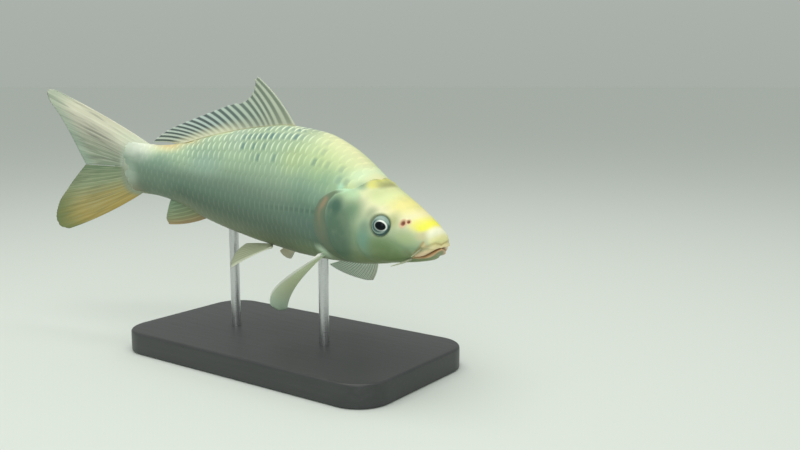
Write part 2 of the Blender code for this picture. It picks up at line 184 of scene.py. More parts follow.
bpy.ops.object.camera_add(
    location=(0.36964, -0.40148, 0.16911), rotation=(math.radians(81), 0, math.radians(35.45))
)
camera = bpy.context.object
camera.data.lens = 40.43
camera.data.clip_start = 0.01
bpy.context.scene.camera = camera


# ---- Stand ----
# A satin charcoal plate of lacquered wood with two brushed steel rods let into it, which run up
# into the belly. Sizes are in metres.
BASE = (0.2, 0.105, 0.014)
CORNER_RADIUS, RIM_RADIUS = 0.02, 0.0016

lacquer, shader, start = finish_of("stand_lacquer", Roughness=0.42)
place = start.add("TexCoord", out="Object")
grain = start.add("Mapping", {"Vector": place, "Scale": (30, 420, 420)}).noise(1.0, 6.0)
feed(shader, "Base Color", grain.mix((3, 3.3, 3.4), (6, 6.4, 6.4)))
feed(shader, "Roughness", grain * 0.18 + 0.34)
bump(shader, grain, 0.0002, 0.4)

bpy.ops.mesh.primitive_cube_add(size=1, location=(0, 0, BASE[2] / 2))
plate = bpy.context.object
plate.name = "stand_base_plate"
plate.scale = BASE
bpy.ops.object.transform_apply(location=True, rotation=True, scale=True)
shape = bmesh.new()
shape.from_mesh(plate.data)
upright = [e for e in shape.edges if abs(e.verts[0].co.z - e.verts[1].co.z) > 0.001]
bmesh.ops.bevel(
    shape, geom=upright, offset=CORNER_RADIUS, segments=14, profile=0.5, affect="EDGES"
)
rims = [e for e in shape.edges if abs(e.verts[0].co.z - e.verts[1].co.z) < 1e-6]
rims = [e for e in rims if len({round(f.normal.z) for f in e.link_faces}) > 1]
bmesh.ops.bevel(shape, geom=rims, offset=RIM_RADIUS, segments=4, profile=0.5, affect="EDGES")
shape.to_mesh(plate.data)
shape.free()
bpy.ops.object.shade_smooth_by_angle(angle=math.radians(30))
plate.data.materials.append(lacquer)
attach(plate, "root")
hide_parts("stand_base")

steel, shader, start = finish_of("stand_steel", Metallic=1.0, Roughness=0.3)
place = start.add("TexCoord", out="Object")
drawn = start.add("Mapping", {"Vector": place, "Scale": (400, 400, 6000)}).noise(1.0, 3.0)
feed(shader, "Base Color", drawn.mix((50, 51, 52), (68, 69, 70)))
feed(shader, "Roughness", drawn * 0.2 + 0.2)
for rod in ("stand_rod_front", "stand_rod_rear"):
    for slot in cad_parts[rod].material_slots:
        slot.material = steel


# ---- Skin ----
# The hide of head and trunk in one piece: bare and pearly on the head, thin over the body, where
# the scales are rooted in it. The lips, nostrils, gill covers and the rims of the eyes are folds of
# it. Places on the fish are given straight and as shares of its length to the root of the tail: s
# behind the snout, y to its left, z up. bend() then lays them along the curved spine.
BODY = 0.26  # metres
MM = 0.001 / BODY  # a millimetre, as a share
SIDES = (("left", 1), ("right", -1))
SPINE_HEIGHT, MIDDLE = 0.104, 0.5  # metres above the floor, and at which share
# How far the fish faces to its right and upward, in degrees, at these shares
TURN = ((-0.05, 10.0), (0.26, 10.0), (0.5, 1.5), (0.75, -10.0), (1.0, -15.5), (1.25, -9.0))
CLIMB = ((-0.05, -8.5), (0.26, -8.0), (0.5, -5.5), (0.75, -3.8), (1.0, -2.3), (1.25, -1.2))


def shares(*rows):
    """A table in thousandths of the length, as shares of it."""
    return np.array(rows, float) / 1000


# Heights of the back and the belly, half widths, and heights of the widest place, at each s
BACK = shares(
    (0, 10), (30, 26), (80, 48), (140, 68), (200, 86), (260, 115), (320, 139), (400, 155),
    (490, 156), (600, 139), (720, 110), (840, 75), (920, 68), (1000, 72), (1030, 66),
)
BELLY = shares(
    (0, -30), (30, -46), (80, -58), (140, -76), (200, -95), (270, -112), (350, -126), (450, -134),
    (550, -132), (650, -122), (740, -104), (820, -76), (900, -62), (980, -58), (1030, -54),
)
SIDE = shares(
    (0, 20), (30, 35), (80, 53), (140, 69), (200, 81), (280, 90), (360, 91), (460, 87), (560, 78),
    (660, 65), (760, 50), (860, 37), (940, 26), (1000, 14), (1030, 8),
)
WIDEST = shares((0, -12), (100, -18), (250, -16), (450, 0), (750, 4), (1030, 6))
NOSE, HEAD_TO, TAIL_ROOT = 0.03, 0.31, 1.03
FLESH_END = shares((-60, 955), (-45, 985), (-20, 1006), (30, 1010), (62, 1016), (80, 1000))
RUN_OUT, FLESH_THIN = 0.105, 0.0002  # over which length the flesh thins, and to what
UPPER_FULL, LOWER_FULL = 1.95, 2.15  # 2 is a round section, and more is squarer
COAT = 0.45 * MM  # how deep the skin lies under the tips of the scales


def curve(stations, x):
    """The smooth line through (x, value) stations, level beyond their ends."""
    at, value = np.array(stations, float).T
    slope = np.diff(value) / np.diff(at)
    both = slope[:-1] * slope[1:]
    inner = np.where(both > 0, 2 * both / np.where(both > 0, slope[:-1] + slope[1:], 1), 0)
    tangent = np.concatenate([slope[:1], inner, slope[-1:]])
    x = np.clip(x, at[0], at[-1])
    i = np.clip(np.searchsorted(at, x, side="right") - 1, 0, len(slope) - 1)
    run = at[i + 1] - at[i]
    t = (x - at[i]) / run
    rise0, rise1 = tangent[i] * run, tangent[i + 1] * run
    first = (value[i] * (1 + 2 * t) + rise0 * t) * (1 - t) ** 2
    return first + (value[i + 1] * (3 - 2 * t) - rise1 * (1 - t)) * t**2


def unit(vectors, least=0.0):
    """Vectors made one long. least is added to their lengths where some may have none."""
    return vectors / (np.linalg.norm(vectors, axis=-1, keepdims=True) + least)


def heading(share):
    """The direction in which the fish faces at this share of its length."""
    turn, climb = np.radians(curve(TURN, share)), np.radians(curve(CLIMB, share))
    level = np.cos(climb)
    return np.stack([level * np.cos(turn), -level * np.sin(turn), np.sin(climb)], -1)


STEP, SPINE_FIRST, SPINE_LAST = 0.005, -0.1, 1.4
SPINE_AT = np.arange(SPINE_FIRST, SPINE_LAST + STEP / 2, STEP)
SPINE = np.cumsum(np.vstack([[(0, 0, 0)], -heading(SPINE_AT[:-1] + STEP / 2) * STEP * BODY]), 0)
SPINE -= SPINE[round((MIDDLE - SPINE_FIRST) / STEP)] - np.array([0, 0, SPINE_HEIGHT])


def station(share):
    """The spine's place, and its forward, left and up directions, at this share."""
    here = np.stack([np.interp(share, SPINE_AT, SPINE[:, axis]) for axis in range(3)], -1)
    forward = heading(share)
    left = unit(np.cross((0, 0, 1), forward))
    return here, forward, left, np.cross(forward, left)


def bend(points):
    """Places on the straight fish carried to the curved one, in metres."""
    here, _, left, up = station(points[..., 0])
    return here + (left * points[..., 1:2] + up * points[..., 2:3]) * BODY


def hold(points, root):
    """As bend, for a stiff piece such as a paired fin: it turns as one with the body at root."""
    here, forward, left, up = station(root)
    ahead = root - points[..., 0:1]
    return here + (forward * ahead + left * points[..., 1:2] + up * points[..., 2:3]) * BODY


def section(s):
    """Top, belly, half width and widest height of the body."""
    short = np.minimum(np.maximum(s, 0) / NOSE, 1)
    rounding = np.sqrt(1 - (1 - short) ** 2)
    widest = curve(WIDEST, s)
    top = widest + (curve(BACK, s) - widest) * rounding
    low = widest + (curve(BELLY, s) - widest) * rounding
    return top, low, curve(SIDE, s) * rounding, widest


def bell(x):
    return np.exp(-(x**2))


def rise(x, low, high):
    """A smooth rise from 0 at low to 1 at high."""
    t = np.clip((x - low) / (high - low), 0, 1)
    return t * t * (3 - 2 * t)


def thinning(s, z):
    """0 on the body, rising to 1 where its flesh has run out into the tail fin."""
    end = curve(FLESH_END, z)
    return rise(s, end - RUN_OUT, end)


def flank(s, angle, grow=0.0):
    """Places on the body: angle 0 is the back, 90 the left flank and 180 the belly."""
    top, low, half, widest = section(s)
    sine, cosine = np.sin(np.radians(angle)), np.cos(np.radians(angle))
    full = 2 / np.where(cosine > 0, UPPER_FULL, LOWER_FULL)
    height = np.where(cosine > 0, top - widest, widest - low) + grow
    y = (half + grow) * np.abs(sine) ** full
    z = widest + height * np.sign(cosine) * np.abs(cosine) ** full
    thin = thinning(s, z)
    y = y * (1 - thin) + np.minimum(y, FLESH_THIN) * thin
    return np.stack([s + 0 * z, y * np.sign(sine), z], -1)


def angle_at(s, z):
    """The angle at which the left flank has this height."""
    low, high = np.zeros(np.shape(s)), np.full(np.shape(s), 180.0)
    for _ in range(30):
        middle = (low + high) / 2
        above = flank(s, middle)[..., 2] > z
        low, high = np.where(above, middle, low), np.where(above, high, middle)
    return (low + high) / 2


def on_flank(*rows):
    """Rows of (s, z) on a side view, in thousandths, set on the left flank."""
    s, z = shares(*rows).T
    return flank(s, angle_at(s, z))


def route(stations, count=36):
    """Places along a smooth line through (s, y, z) stations."""
    steps = np.linspace(0, len(stations) - 1, count)
    return np.stack([curve(list(enumerate(axis)), steps) for axis in np.transpose(stations)], -1)


def away(points, line):
    """How far each place is from a line, in millimetres, its share along it, and how far it is in
    front of it, for a line that runs downwards."""
    best, share, side = (np.full(len(points), value) for value in (math.inf, 0.0, 1.0))
    for k in range(len(line) - 1):
        run = line[k + 1] - line[k]
        t = np.clip((points - line[k]) @ run / (run @ run), 0, 1)
        gap = points - line[k] - t[:, None] * run
        far = np.linalg.norm(gap, axis=1) / MM
        near = far < best
        best[near], share[near] = far[near], (k + t[near]) / (len(line) - 1)
        side[near] = -np.sign(run[0] * gap[near, 2] - run[2] * gap[near, 0])
    return best, share, side * best


def carry(mesh, tags):
    """Numbers or vectors on every vertex, under these names, for a material to read."""
    for name, values in tags.items():
        kind, field = ("FLOAT_VECTOR", "vector") if values.ndim > 1 else ("FLOAT", "value")
        mesh.attributes.new(name, kind, "POINT").data.foreach_set(field, values.ravel())


def settle(weld=0.0):
    """The selected piece: edges that meet within weld are joined, and its faces look outward."""
    bpy.ops.object.mode_set(mode="EDIT")
    bpy.ops.mesh.select_all(action="SELECT")
    if weld:
        bpy.ops.mesh.remove_doubles(threshold=weld)
    bpy.ops.mesh.normals_make_consistent(inside=False)
    bpy.ops.object.mode_set(mode="OBJECT")


def shaped_grid(name, points, tags, finish, replaced):
    """A closed piece: a grid moved onto these rows of places, in metres, with its meeting edges
    joined. Tags are values that its material reads."""
    rows, columns = points.shape[0] - 1, points.shape[1] - 1
    bpy.ops.mesh.primitive_grid_add(x_subdivisions=rows, y_subdivisions=columns, size=1)
    made = bpy.context.object
    mesh = made.data
    made.name = mesh.name = name
    flat = np.empty(len(mesh.vertices) * 3)
    mesh.vertices.foreach_get("co", flat)
    flat = flat.reshape(-1, 3)
    row = np.rint((flat[:, 0] + 0.5) * rows).astype(int)
    column = np.rint((flat[:, 1] + 0.5) * columns).astype(int)
    mesh.vertices.foreach_set("co", points[row, column].ravel())
    while mesh.uv_layers:
        mesh.uv_layers.remove(mesh.uv_layers[0])
    carry(mesh, {tag: values[row, column] for tag, values in tags.items()})
    settle(weld=2e-6)
    bpy.ops.object.shade_smooth()
    mesh.materials.append(finish)
    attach(made, "root")
    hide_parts(*replaced)
    made.select_set(False)


# Lines on the left of the head, from the middle or the top down
UPPER_LIP = shares((0, 0, -3), (8, 16, -5.5), (17, 26, -11.5), (30, 33, -20), (47, 37, -32))
MOUTH = shares(
    (1, 0, -7.8), (6, 14, -11.2), (16, 24, -20), (30, 31, -28.8), (45, 35, -36.6), (57, 36, -41.5),
)
LOWER_LIP = shares(
    (3, 0, -13.8), (9, 14, -16.8), (18, 23.5, -25.8), (31, 30, -34.8), (48, 34, -42.5),
)
LIP_FOLD = shares((1.5, 0, 4.5), (13, 18.4, 2.8), (22, 28.3, -2.9), (34, 33, -10.8), (47, 37, -23))
MOUTH_FOLD = shares((35.7, 34.4, 1.5), (40, 38.4, -11.1), (46, 40.7, -21.8), (57, 38.5, -34.5))
CHIN = shares((16, 0, -33), (24, 14, -36), (40, 26, -44), (62, 33, -52))
CHEEK = on_flank((115, -10), (95, -14), (75, -20), (62, -32))
CHEEK_BACK = on_flank((208, 54), (206, 28), (194, 3), (186, -24), (177, -51), (160, -72))
COVER_EDGE = on_flank(
    (238, 60), (258, 49), (269, 32), (272, 14), (271, -1), (263, -21), (258, -42), (253, -59),
    (243.5, -74), (232, -88), (214, -94), (185, -88.5),
)
FLAP_EDGE = on_flank(
    (262, 58), (278, 51), (298, 31), (308, 8), (309, -15), (306, -37), (296, -57), (278, -78),
    (254, -96), (215, -99),
)
BAND = on_flank(
    (272.5, 43), (280, 35), (285, 23), (290.5, 13), (292, 3), (290.5, -6), (289, -17), (283, -37),
    (279, -50), (273, -62),
)
NAPE = on_flank((200, 85), (211, 88.5), (216, 78), (223, 67), (248.5, 62.5), (262, 58))
NOSTRILS = on_flank((88.7, 26.6), (80.3, 30.9))
BARE_ABOVE, BARE_BELOW = 0.203, 0.225  # where the scales start on the back and on the belly
EYE_S, EYE_Z, EYE_RADIUS, EYE_PROUD = 0.132, 0.013, 6.2 * MM, 3.1 * MM
EYE_ANGLE = angle_at(EYE_S, EYE_Z)
EYE_PLACE = flank(EYE_S, EYE_ANGLE)


def head_end(angle):
    """Where the bare head gives way to scales, for an angle from the back."""
    line = np.vstack([NAPE[1:], FLAP_EDGE[2:]])
    at = [0, *angle_at(line[:, 0], line[:, 2]), 180]
    return np.interp(np.minimum(angle, 360 - angle), at, [BARE_ABOVE, *line[:, 0], BARE_BELOW])


def relief(points, angle):
    """How far the skin stands out of the smooth body, in millimetres, and the tags of its folds."""
    s, z = points[:, 0], points[:, 2]
    left = points * [1, 0, 1] + np.abs(points[:, 1:2]) * [0, 1, 0]
    head, thin = head_end(angle), thinning(s, z)
    out = -COAT / MM * rise(s, head - 0.001, head + 0.003) * (1 - thin)
    bare = 1 - rise(s, head - 0.001, head + 0.002)
    front = left[s < 0.1]

    def beside(stations):
        """How far each place is from a line drawn on the skin of the snout, and its share."""
        line = route(stations)
        line = front[np.linalg.norm(line[:, None] - front[None], axis=2).argmin(1)]
        line[1:-1] = (line[:-2] + 2 * line[1:-1] + line[2:]) / 4
        return away(left, line)[:2]

    # The lips, the slit between them, and the folds round them
    upper, upper_at = beside(UPPER_LIP)
    lower, lower_at = beside(LOWER_LIP)
    mouth, mouth_at = beside(MOUTH)
    out += 0.5 * bell(upper / 1.4) * (1 - 0.4 * upper_at**3) * (1 - 0.25 * bell(upper_at / 0.15))
    out += 0.55 * bell(lower / 1.15) * (1 - 0.6 * lower_at**3)
    gape = (1 - rise(mouth_at, 0.93, 1.0)) * (0.4 + 0.6 * rise(mouth_at, 0, 0.15))
    out -= 1.4 * bell(mouth / 0.62) * gape
    fold, fold_at = beside(LIP_FOLD)
    out -= 0.34 * bell(fold / 0.65) * (1 - 0.5 * fold_at)
    crease, crease_at = beside(MOUTH_FOLD)
    out -= 0.55 * bell(crease / 0.6) * rise(crease_at, -0.2, 0.3)
    out -= 0.4 * bell(beside(CHIN)[0] / 1.1)

    # The blunt snout, with the lower jaw behind the upper, and the hollow throat
    jaw = rise(-z, 0.008, 0.014)
    out -= 3.4 * bell(s / 0.012) * (1 - jaw) + 3.4 * bell(s / 0.024) * jaw
    out -= 1.3 * bell((s - 0.038) / 0.028) * rise(-z, 0.026, 0.042)

    # The cheek, the gill cover with its soft flap, and the edge of the nape
    out -= 0.3 * bell(away(left, CHEEK)[0] / 1.8)
    back, back_at, ahead = away(left, CHEEK_BACK)
    swell = rise(ahead, -0.8, 1.2) * np.exp(-np.maximum(ahead, 0) / 9)
    out += 0.35 * bare * swell * bell((back_at - 0.5) / 0.7)
    out -= 0.18 * bell(back / 1.4)
    _, cover_at, ahead = away(left, COVER_EDGE)
    cover = rise(ahead, -0.45, 0.35) * bell(np.maximum(ahead, 0) / 16)
    out += 0.8 * cover * (1 - 0.6 * rise(cover_at, 0.8, 1.0)) * (s > 0.15)
    _, _, inside = away(left, FLAP_EDGE)
    flap = rise(inside, -0.3, 0.5)
    out += 0.3 * flap * bell(np.maximum(inside, 0) / 5) * (s > 0.15)
    nape, _, nape_ahead = away(left, NAPE)
    out += 0.28 * bare * bell(nape / 2.5) * (nape_ahead > 0)
    out -= 0.22 * bell((nape + 0.6) / 1.2)

    # The rim and the socket of the eye, and the nostrils
    eye = np.linalg.norm((left - EYE_PLACE) * (0.92, 1, 1), axis=1) / MM
    out += 0.5 * bell((eye - 6.6) / 0.9) + 0.25 * bell((eye - 8.3) / 2.2)
    out -= 1.1 * (1 - rise(eye, 5.1, 5.8))
    pits, rims = np.zeros((2, len(points)))
    for nostril, width, tall in zip(NOSTRILS, (1.3, 1.0), (1.8, 1.15)):
        apart = (left - nostril) / MM
        far = np.hypot(apart[:, 0] / width, np.hypot(apart[:, 1], apart[:, 2]) / tall)
        out += 0.25 * bell((far - 1.25) / 0.35) - 0.9 * bell(far / 0.75)
        pits, rims = np.maximum(pits, bell(far / 0.95)), np.maximum(rims, bell((far - 1.2) / 0.3))

    band, band_at, _ = away(left, BAND)
    slit_fade = (1 - 0.5 * rise(mouth_at, 0.85, 1.0)) * (0.4 + 0.6 * rise(mouth_at, 0, 0.14))
    band_fade = rise(0.5 - np.abs(band_at - 0.5), 0.0, 0.12) * (1 - 0.5 * rise(band_at, 0.2, 0.4))
    # Several of these tags mark painted shade: the creases, the nostril pits, the core of the slit,
    # the nape line and the ring round the eye. The lips tag also carries a painted highlight.
    tags = {
        "lips": bell(upper / 1.8),
        "pout": bell(np.maximum(lower - 0.4, 0) / 1.5) * (1 - 0.5 * rise(lower_at, 0.5, 1.0)),
        "slit": bell(mouth / 0.85) * slit_fade,
        "pits": pits,
        "rims": rims,
        "flap": flap * (1 - rise(ahead, -0.6, 0.1)) * bare * rise(0.062 - z, 0, 0.01),
        "band": bell(band / 1.5) * band_fade,
        "nape": bell(nape / 1.8) * bare,
        "crease": np.maximum(bell(crease / 0.6), bell(fold / 0.8) * (1 - 0.5 * fold_at)),
        "orbit": bell((eye - 5.7) / 0.6),
        "thin": thin,
    }
    return out, tags


HEAD_ROWS, BODY_ROWS, NOSE_ROWS, ROUND = 160, 150, 30, 248
nose = NOSE * (1 - np.cos(np.linspace(0, math.pi / 2, NOSE_ROWS, endpoint=False)))
rows = np.concatenate([
    nose,
    np.linspace(NOSE, HEAD_TO, HEAD_ROWS, endpoint=False),
    np.linspace(HEAD_TO, TAIL_ROOT, BODY_ROWS),
])
grid_s, grid_angle = np.meshgrid(rows, np.linspace(0, 360, ROUND + 1), indexing="ij")
hide = flank(grid_s, grid_angle)
across = np.roll(hide[:, :-1], -1, 1) - np.roll(hide[:, :-1], 1, 1)
across = np.concatenate([across, across[:, :1]], 1)
outward = unit(np.cross(across, np.gradient(hide, axis=0)), 1e-12)
from_middle = hide - hide.mean(1, keepdims=True)
outward *= np.where((outward * from_middle).sum(2, keepdims=True) < 0, -1, 1)
outward[0] = (-1, 0, 0)
standing, folds = relief(hide.reshape(-1, 3), grid_angle.ravel())
standing = standing.reshape(grid_s.shape)
standing[0] = standing[0].mean()
standing[:, -1] = standing[:, 0]
hide_tags = {"body": hide, "girth": np.minimum(grid_angle, 360 - grid_angle) / 180}
hide_tags |= {name: values.reshape(grid_s.shape) for name, values in folds.items()}
hide = hide + outward * standing[..., None] * MM
# The upper lip is blunt
hide[..., 0] += 0.0046 * bell(grid_s / 0.014) * bell((hide[..., 2] + 0.004) / 0.01)
# Two more rows close the rear end
last = hide[-1:].mean(1, keepdims=True)
hide = np.concatenate([hide, last + (hide[-1:] - last) * 0.5, last + hide[-1:] * 0])
for name, values in hide_tags.items():
    hide_tags[name] = np.concatenate([values, values[-1:], values[-1:]])


# Colours round the body: how far from the back (0) to the belly (100), and red, green and blue
# These tables darken a great deal from the back down to the lower flank and belly: partly the koi's
# own darker flank, partly painted shade of the lamp above.
SHOULDER = (
    (0, 80, 82, 46), (16, 62, 74, 38), (24, 56, 71, 37), (31, 40, 57, 34), (38, 28, 43, 31),
    (46, 16.5, 27.5, 20), (56, 11.5, 19.5, 15.5), (66, 12, 19, 13), (78, 29, 37, 22),
    (100, 38, 40, 25),
)
LOIN = (
    (0, 74, 84, 56), (15, 62, 78, 52), (26, 56, 74, 48), (34, 46, 63, 42), (40, 36, 50, 35),
    (44, 29, 41, 30), (50, 20, 29, 22), (56, 15.5, 24, 18), (62, 11.5, 18, 13),
    (68, 10.5, 16, 11), (80, 19, 23, 14), (100, 30, 32, 19),
)
STALK = (
    (0, 82, 86, 56), (19, 72, 82, 52), (29, 38, 53, 38), (37, 27, 40, 30),
    (45, 22, 33, 25.5), (52, 19, 28, 21), (62, 16, 24, 17.5), (74, 14, 20, 14),
    (100, 16, 20, 12),
)
TAIL_END = (
    (0, 80, 88, 70), (20, 76, 88, 68), (30, 42, 54, 42), (38, 26, 37, 28), (50, 27, 37, 29),
    (62, 27, 35, 27), (76, 24, 26, 18), (100, 32, 24, 15),
)
FACE = (
    (0, 86, 80, 42), (25, 84, 84, 52), (38, 50, 60, 38), (50, 26, 38, 22), (72, 20, 27, 14),
    (100, 26, 30, 15),
)

# Soft patches on the side view: s and z of the middle and the radius in thousandths, softness,
# squeeze along and up, colour, and strength
GROUND_PATCHES = (
    (720, 48, 100, 1, 1, 1.8, (36, 52, 45), 0.6),
    (630, 110, 70, 1, 1, 1.4, (58, 72, 60), 0.5),
    (420, 98, 70, 1, 1, 1.3, (68, 80, 34), 0.45),
    (300, 75, 35, 1, 1, 0.9, (24, 42, 30), 0.5),
    (860, 74, 60, 1, 0.8, 2.4, (84, 64, 28), 0.85),
    (800, 88, 50, 1, 0.7, 2.6, (84, 68, 32), 0.6),
    (955, 60, 70, 1, 0.8, 1.4, (86, 92, 80), 0.85),
    (985, -12, 40, 1, 1, 0.8, (60, 70, 56), 0.4),
    (298, -89, 24, 1, 0.8, 1, (74, 92, 72), 0.9),
    (268, 78, 30, 1, 1, 1, (30, 52, 40), 0.5),
    (236, 92, 32, 1, 1, 1.2, (70, 92, 62), 0.6),
    (218, 75, 16, 1, 0.8, 1.2, (34, 52, 34), 0.6),
    (256, 65, 13, 1, 1, 1, (52, 88, 66), 0.7),
    (945, 34, 32, 1, 1, 1.7, (36, 47, 38), 0.5),
    (415, 152, 30, 1, 0.8, 1.3, (42, 54, 34), 0.45),
)
HEAD_PATCHES = (
    (155, 62, 40, 0.8, 0.8, 1.8, (68, 80, 38), 0.8),
    (112, 60, 46, 0.8, 1, 1.4, (82, 78, 26), 0.85),
    (112, 26, 24, 0.9, 1, 1, (42, 47, 20), 0.8),
    (55, 30, 26, 0.8, 0.8, 1.3, (88, 85, 16), 1),
    (49, 27, 15, 0.8, 1, 1, (92, 92, 5), 0.95),
    (33, -5, 10, 0.9, 1, 1, (84, 64, 32), 0.6),
    (42, 11, 16, 0.8, 0.8, 1.2, (68, 64, 36), 0.9),
    (27, 21, 17, 0.8, 1, 1, (90, 92, 66), 0.9),
    (14, 6, 18, 0.8, 1, 1, (95, 92, 42), 0.85),
    (72, 2, 26, 0.9, 0.7, 1.2, (42, 54, 24), 0.6),
    (176, 70, 26, 0.9, 0.8, 1.3, (54, 64, 29), 0.7),
    (209, 72, 15, 0.9, 0.9, 1.2, (36, 52, 30), 0.7),
    (197, 82, 21, 0.6, 1, 1.5, (70, 70, 16), 0.9),
    (190, 84, 14, 0.9, 0.8, 1.3, (36, 40, 17), 0.6),
    (181, 81, 13, 0.9, 0.8, 1.3, (28, 30, 12), 0.8),
    (212, 91, 12, 0.9, 0.8, 1.6, (22, 28, 12), 0.7),
    (222, 74, 16, 0.9, 0.7, 1.3, (22, 34, 20), 0.85),
    (242, 66, 26, 0.8, 0.7, 1.5, (58, 90, 60), 0.95),
    (220, 54, 22, 0.9, 0.8, 1.3, (56, 82, 50), 0.8),
    (204, 28, 32, 0.9, 1, 0.9, (18, 32, 19), 0.85),
    (165, -20, 36, 0.9, 1.4, 0.6, (16, 36, 30), 0.6),
    (161, 31, 20, 0.9, 1, 1, (34, 42, 26), 0.65),
    (166, 3, 16, 0.9, 1, 0.8, (22, 32, 22), 0.5),
    (112, -36, 48, 0.8, 0.8, 1.2, (15, 24, 8), 0.7),
    (64, -29, 16, 0.9, 1, 1, (17, 21, 9), 0.6),
    (235, -28, 64, 0.6, 1.3, 0.7, (9, 17, 11), 0.8),
    (248, 28, 24, 0.8, 1, 0.9, (6, 14, 10), 0.85),
    # The next patch is partly the gill cover's dark blotch, and partly a painted shadow at the
    # cover's raised edge.
    (263, 18, 20, 0.9, 1.8, 0.8, (8, 16, 12), 0.7),
    (252, 78, 14, 0.8, 0.8, 1.2, (10, 17, 15), 0.7),
)


def patch(place, s, z, radius, soft, squeeze_s=1, squeeze_z=1):
    """1 in the middle of a patch, falling to 0 at its radius."""
    squeeze = {0: place, 1: (squeeze_s, 0, squeeze_z)}
    seen = place.add("VectorMath", squeeze, operation="MULTIPLY")
    middle = (s / 1000 * squeeze_s, 0, z / 1000 * squeeze_z)
    far = place.add("VectorMath", {0: seen, 1: middle}, "Value", operation="DISTANCE")
    return 1 - far.smooth(radius / 1000 * (1 - soft), radius / 1000)


def stained(colour, place, patches):
    """This colour with these patches over it."""
    for *shape, tint, strength in patches:
        colour = (patch(place, *shape) * strength).mix(colour, tint)
    return colour


def ground(body, girth):
    """The colours that skin and scales share, from the snout to the tail."""
    s = body.part(0)
    colour = girth.ramp(FACE)
    for first, last, stops in (
        (0.16, 0.26, SHOULDER), (0.33, 0.46, LOIN), (0.78, 0.87, STALK), (0.92, 0.98, TAIL_END)
    ):
        colour = s.smooth(first, last).mix(colour, girth.ramp(stops))
    return stained(colour, body, GROUND_PATCHES)


hide_finish, shader, start = finish_of("koi_skin", Roughness=0.42, Specular_IOR_Level=0.35)
body, girth = start.tag("body"), start.tag("girth", "Fac")
colour = stained(ground(body, girth), body, HEAD_PATCHES)
clouds = body.noise(34.0)
colour = (clouds.smooth(0.45, 0.75) * 0.16).mix(colour, (36, 44, 28))
z = body.part(2)
low, high = 1 - z.smooth(-0.034, 0.014), z.smooth(-0.012, 0.022)
for fold, window, strength, tint in (
    ("flap", None, 0.8, (14, 19, 12)),
    ("band", None, 0.8, low.mix((40, 29, 18), (20, 19, 12))),
    # A soft dark line along the rear edge of the bare head: a painted shadow line.
    ("nape", None, 0.2, (12, 16, 8)),
    ("pout", None, 0.85, (72, 45, 24)),
    # The upper lip's yellow is its own colour, painted paler still to stand in for the highlight on
    # its ridge.
    ("lips", None, 0.92, low.mix((98, 90, 46), (80, 58, 38))),
    # The slit's brown is the colour of the lips; its near-black core is painted shade in the gap.
    ("slit", (0.1, 0.6), 0.8, (46, 26, 12)),
    ("slit", (0.6, 1.0), 0.7, (24, 13, 6)),
    ("rims", None, 0.75, (80, 46, 28)),
    # The nostril pits are painted dark, near-black at their bottom: painted shade in the holes.
    ("pits", (0.15, 0.7), 0.95, (36, 10, 5)),
    ("pits", (0.6, 1.0), 0.7, (8, 4, 3)),
    # The folds round the lips and by the corner of the mouth are painted darker: painted shade in
    # the grooves.
    ("crease", None, 0.6, (40, 26, 8)),
    # A dark ring round the eye: painted shade where the skin dips into the socket.
    ("orbit", None, 0.55, (18, 24, 15)),
):
    amount = start.tag(fold, "Fac")
    if window:
        amount = amount.smooth(*window)
    colour = (amount * strength).mix(colour, tint)
worn = (start.tag("thin", "Fac") + (body.noise(110.0) - 0.5) * 0.9).smooth(0.78, 1.0)
colour = (worn * 0.85).mix(colour, high.mix((30, 34, 24), (50, 54, 43)))
feed(shader, "Base Color", colour)
bump(shader, body.noise(900.0, 3.0), 0.0001, 0.5)
shaped_grid(
    "skin", bend(hide), hide_tags, hide_finish,
    ("head", "trunk_front", "trunk_middle", "trunk_rear", "tail_stalk", "gill_cover_left",
     "gill_cover_right", "upper_lip", "lower_lip"),
)


# ---- Scales ----
# Thin plates of bone rooted in the skin, in rows along the lateral line. Each is tucked under the
# two in front of it, and its free rear edge is pale and rounded.
PITCH = 4.8 * MM  # from one scale to the next in a row
LATERAL = shares((200, 10), (280, 4), (355, -6), (543, -28), (730, -22), (900, 1), (1030, 4))
# The width of a row in mm, at each s
ROW = ((0.2, 6.2), (0.3, 6.9), (0.45, 7.4), (0.65, 6.3), (0.8, 4.9), (0.9, 4.3), (1.03, 4.3))
SCALE_LONG, SCALE_HALF = 1.86 * PITCH, 0.74  # half its width, as a share of a row's
ROOT_DEEP, DOME, LIP = 0.62, 0.04, 0.1  # mm
FIRST, SEEN = 0.2, 0.66  # where the rows start, and where along a scale its place is judged
SCALE_ROWS, ALONG = range(-9, 10), range(-2, 43)  # more than fit: those off the flank are left out
MIDLINE = 99  # the row number of scales on the middle of the back, and of the belly when negative
DORSAL_FROM, DORSAL_TO = 0.485, 0.897
BAKE_PATCH = 0.003

arc_s = np.linspace(0.15, TAIL_ROOT, 180)
arc_angle = np.linspace(0, 180, 361)
arc = flank(*np.meshgrid(arc_s, arc_angle, indexing="ij"))
arc = np.cumsum(np.linalg.norm(np.diff(arc, axis=1), axis=2), 1)
arc = np.hstack([np.zeros((len(arc_s), 1)), arc])  # how far down the skin, for each s and angle
arc_end = arc[:, -1]
lateral_angle = angle_at(arc_s, curve(LATERAL, arc_s))
arc_lateral = np.array([np.interp(a, arc_angle, row) for a, row in zip(lateral_angle, arc)])
arc_even = np.linspace(0, arc_end.max(), 400)
angle_even = np.array([np.interp(arc_even, row, arc_angle) for row in arc])


